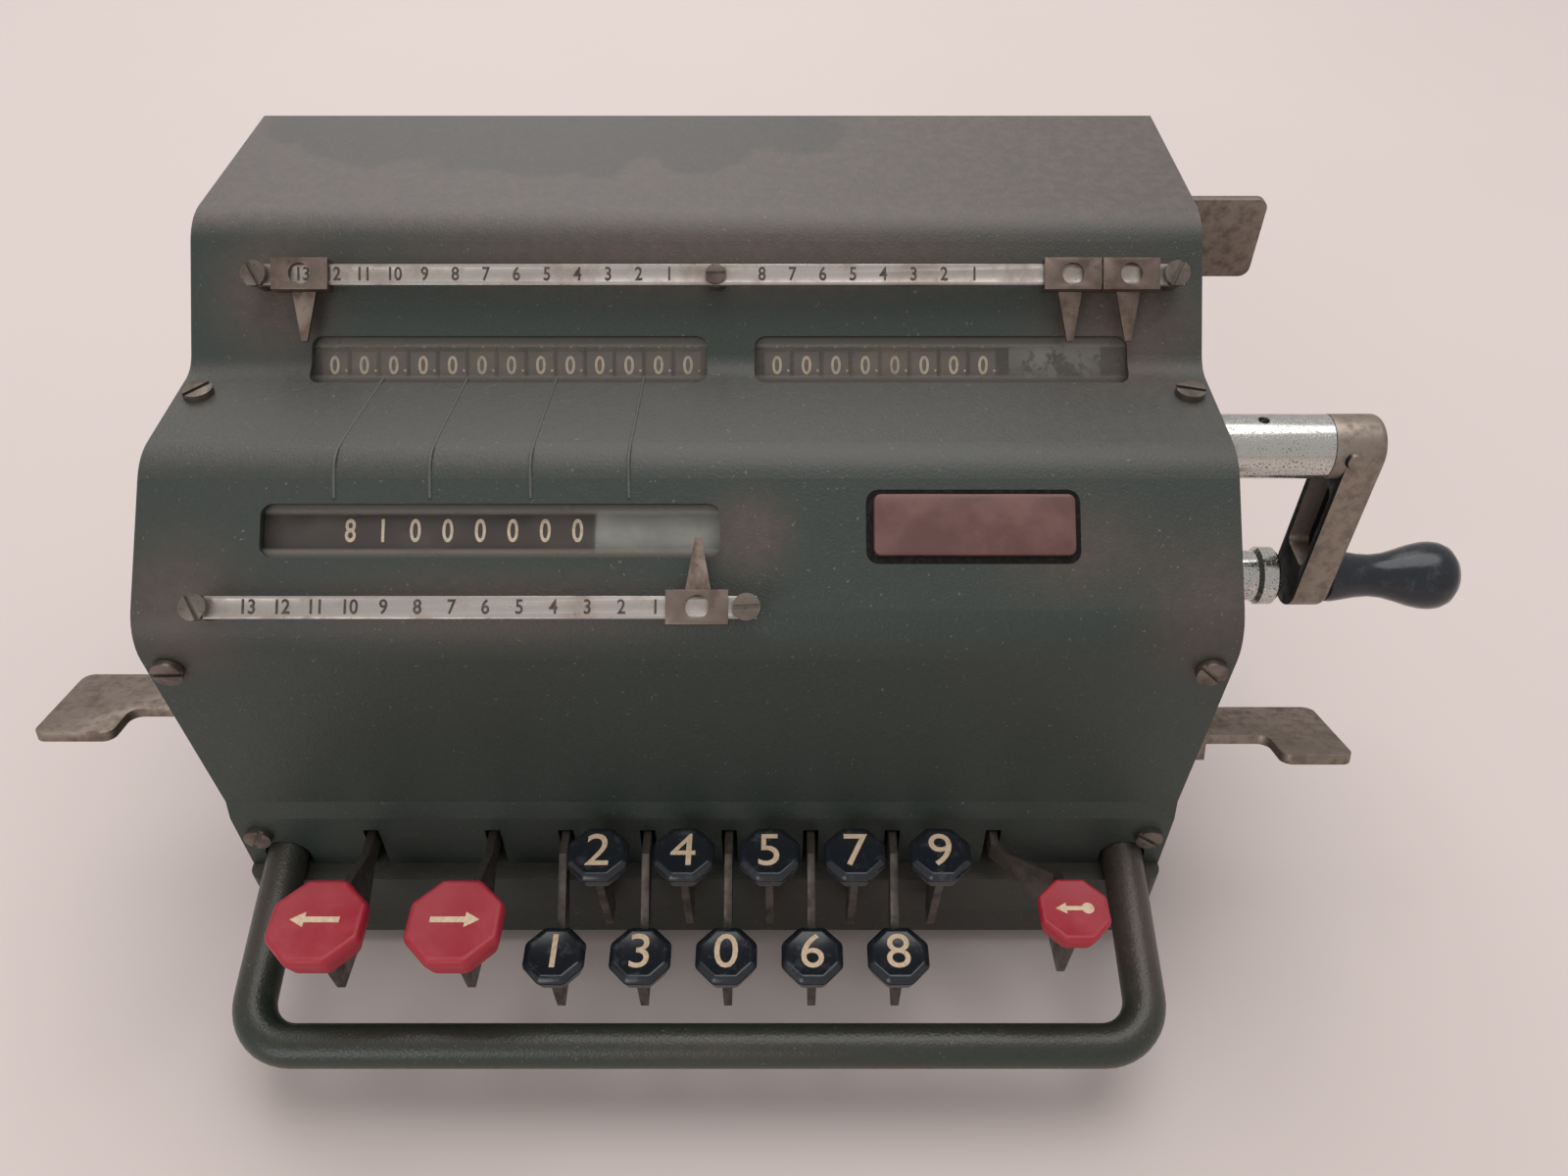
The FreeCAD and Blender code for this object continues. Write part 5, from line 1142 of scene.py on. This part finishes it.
# Nodes whose edges are broken: node, finish and the width of the broken edge
SOFTENED = (
    ("base_frame", "base", 0.9),
    ("bottom_pan", "base", 0.9),
    ("left_side_plate", "cover", 0.3),
    ("right_side_plate", "cover", 0.3),
    ("rear_cover", "cover", 0.4),
    ("name_plate", "plate", 0.7),
    ("left_clearing_lever", "lever", 0.6),
    ("right_clearing_lever", "lever", 0.6),
    ("top_clearing_lever", "lever", 0.6),
    ("crank_arm", "arm", 0.5),
)

# Nodes that only take a finish
PAINTED = {
    "front_cover": "cover",
    "front_rail": "rail",
    "crank_bearing": "chrome",
    "rest_stud": "chrome",
    "crank_shaft": "steel",
    "handle_spindle": "steel",
    "rotor_shaft": "steel",
    "register_shaft": "steel",
    "key_shaft": "steel",
    "setting_drum": "drum",
    "register_window": "register_strip",
    "setting_window": "setting_strip",
}


def metalwork():
    for node, finish, width in SOFTENED:
        soften(node, finish, width)
    for node, finish in PAINTED.items():
        paint_node(node, finish)


# Floor, light and camera

FLOOR_COLOUR = (0.67, 0.585, 0.56)
FLOOR_HALF_SIZE = 6.0
FLOOR_ROUGHNESS = 0.8
SKY_COLOUR = (1.0, 0.97, 0.95, 1.0)
SKY_STRENGTH = 0.52

# Lamps: name, place, aim and width in metres, and power in watts
LAMPS = (
    ("back_soft", (-0.3, 1.2, 1.3), (0, 0, 0.08), 1.4, 8.0),
    ("overhead_soft", (0.2, 0.3, 1.9), (0, -0.15, 0.0), 1.6, 15.0),
    ("front_left_soft", (-0.9, -1.8, 0.75), (0, -0.3, 0.0), 1.2, 9.0),
)

CAMERA_PLACE = (-0.8, -220.6, 297.7)
CAMERA_PITCH = 44.0
LENS = 28.125
SENSOR_WIDTH = 36.0


def floor():
    finish = Finish("pale_floor")
    paler = tuple(channel * 1.04 for channel in FLOOR_COLOUR)
    finish.colour(finish.mix(finish.noise(6.0), FLOOR_COLOUR, paler))
    finish.shader.inputs["Roughness"].default_value = FLOOR_ROUGHNESS
    mesh = bmesh.new()
    bmesh.ops.create_grid(mesh, x_segments=1, y_segments=1, size=FLOOR_HALF_SIZE)
    data = bpy.data.meshes.new("floor")
    mesh.to_mesh(data)
    mesh.free()
    data.materials.append(finish.material)
    ground = bpy.data.objects.new("floor", data)
    bpy.context.collection.objects.link(ground)


def area_light(name, place, aim, size, power):
    light = bpy.data.lights.new(name, "AREA")
    light.shape = "DISK"
    light.size = size
    light.energy = power
    holder = bpy.data.objects.new(name, light)
    holder.location = place
    holder.rotation_euler = (Vector(aim) - Vector(place)).to_track_quat("-Z", "Y").to_euler()
    bpy.context.collection.objects.link(holder)


def studio():
    world = bpy.data.worlds.new("studio")
    world.use_nodes = True
    sky = world.node_tree.nodes["Background"]
    sky.inputs["Color"].default_value = SKY_COLOUR
    sky.inputs["Strength"].default_value = SKY_STRENGTH
    bpy.context.scene.world = world
    for lamp in LAMPS:
        area_light(*lamp)
    bpy.context.scene.view_settings.view_transform = "Standard"


def camera():
    data = bpy.data.cameras.new("camera")
    data.lens = LENS
    data.sensor_width = SENSOR_WIDTH
    holder = bpy.data.objects.new("camera", data)
    holder.location = Vector(CAMERA_PLACE) * MM
    holder.rotation_euler = (math.radians(90.0 - CAMERA_PITCH), 0, 0)
    bpy.context.collection.objects.link(holder)
    bpy.context.scene.camera = holder


metalwork()
slotted_screws()
keys()
bar_numbers()
registers()
drum_numbers()
shelf_lines()
hub_pin()
marker_bars()
markers()
crank_handle()
window_label()
plate_gap()
rubber_feet()
floor()
studio()
camera()
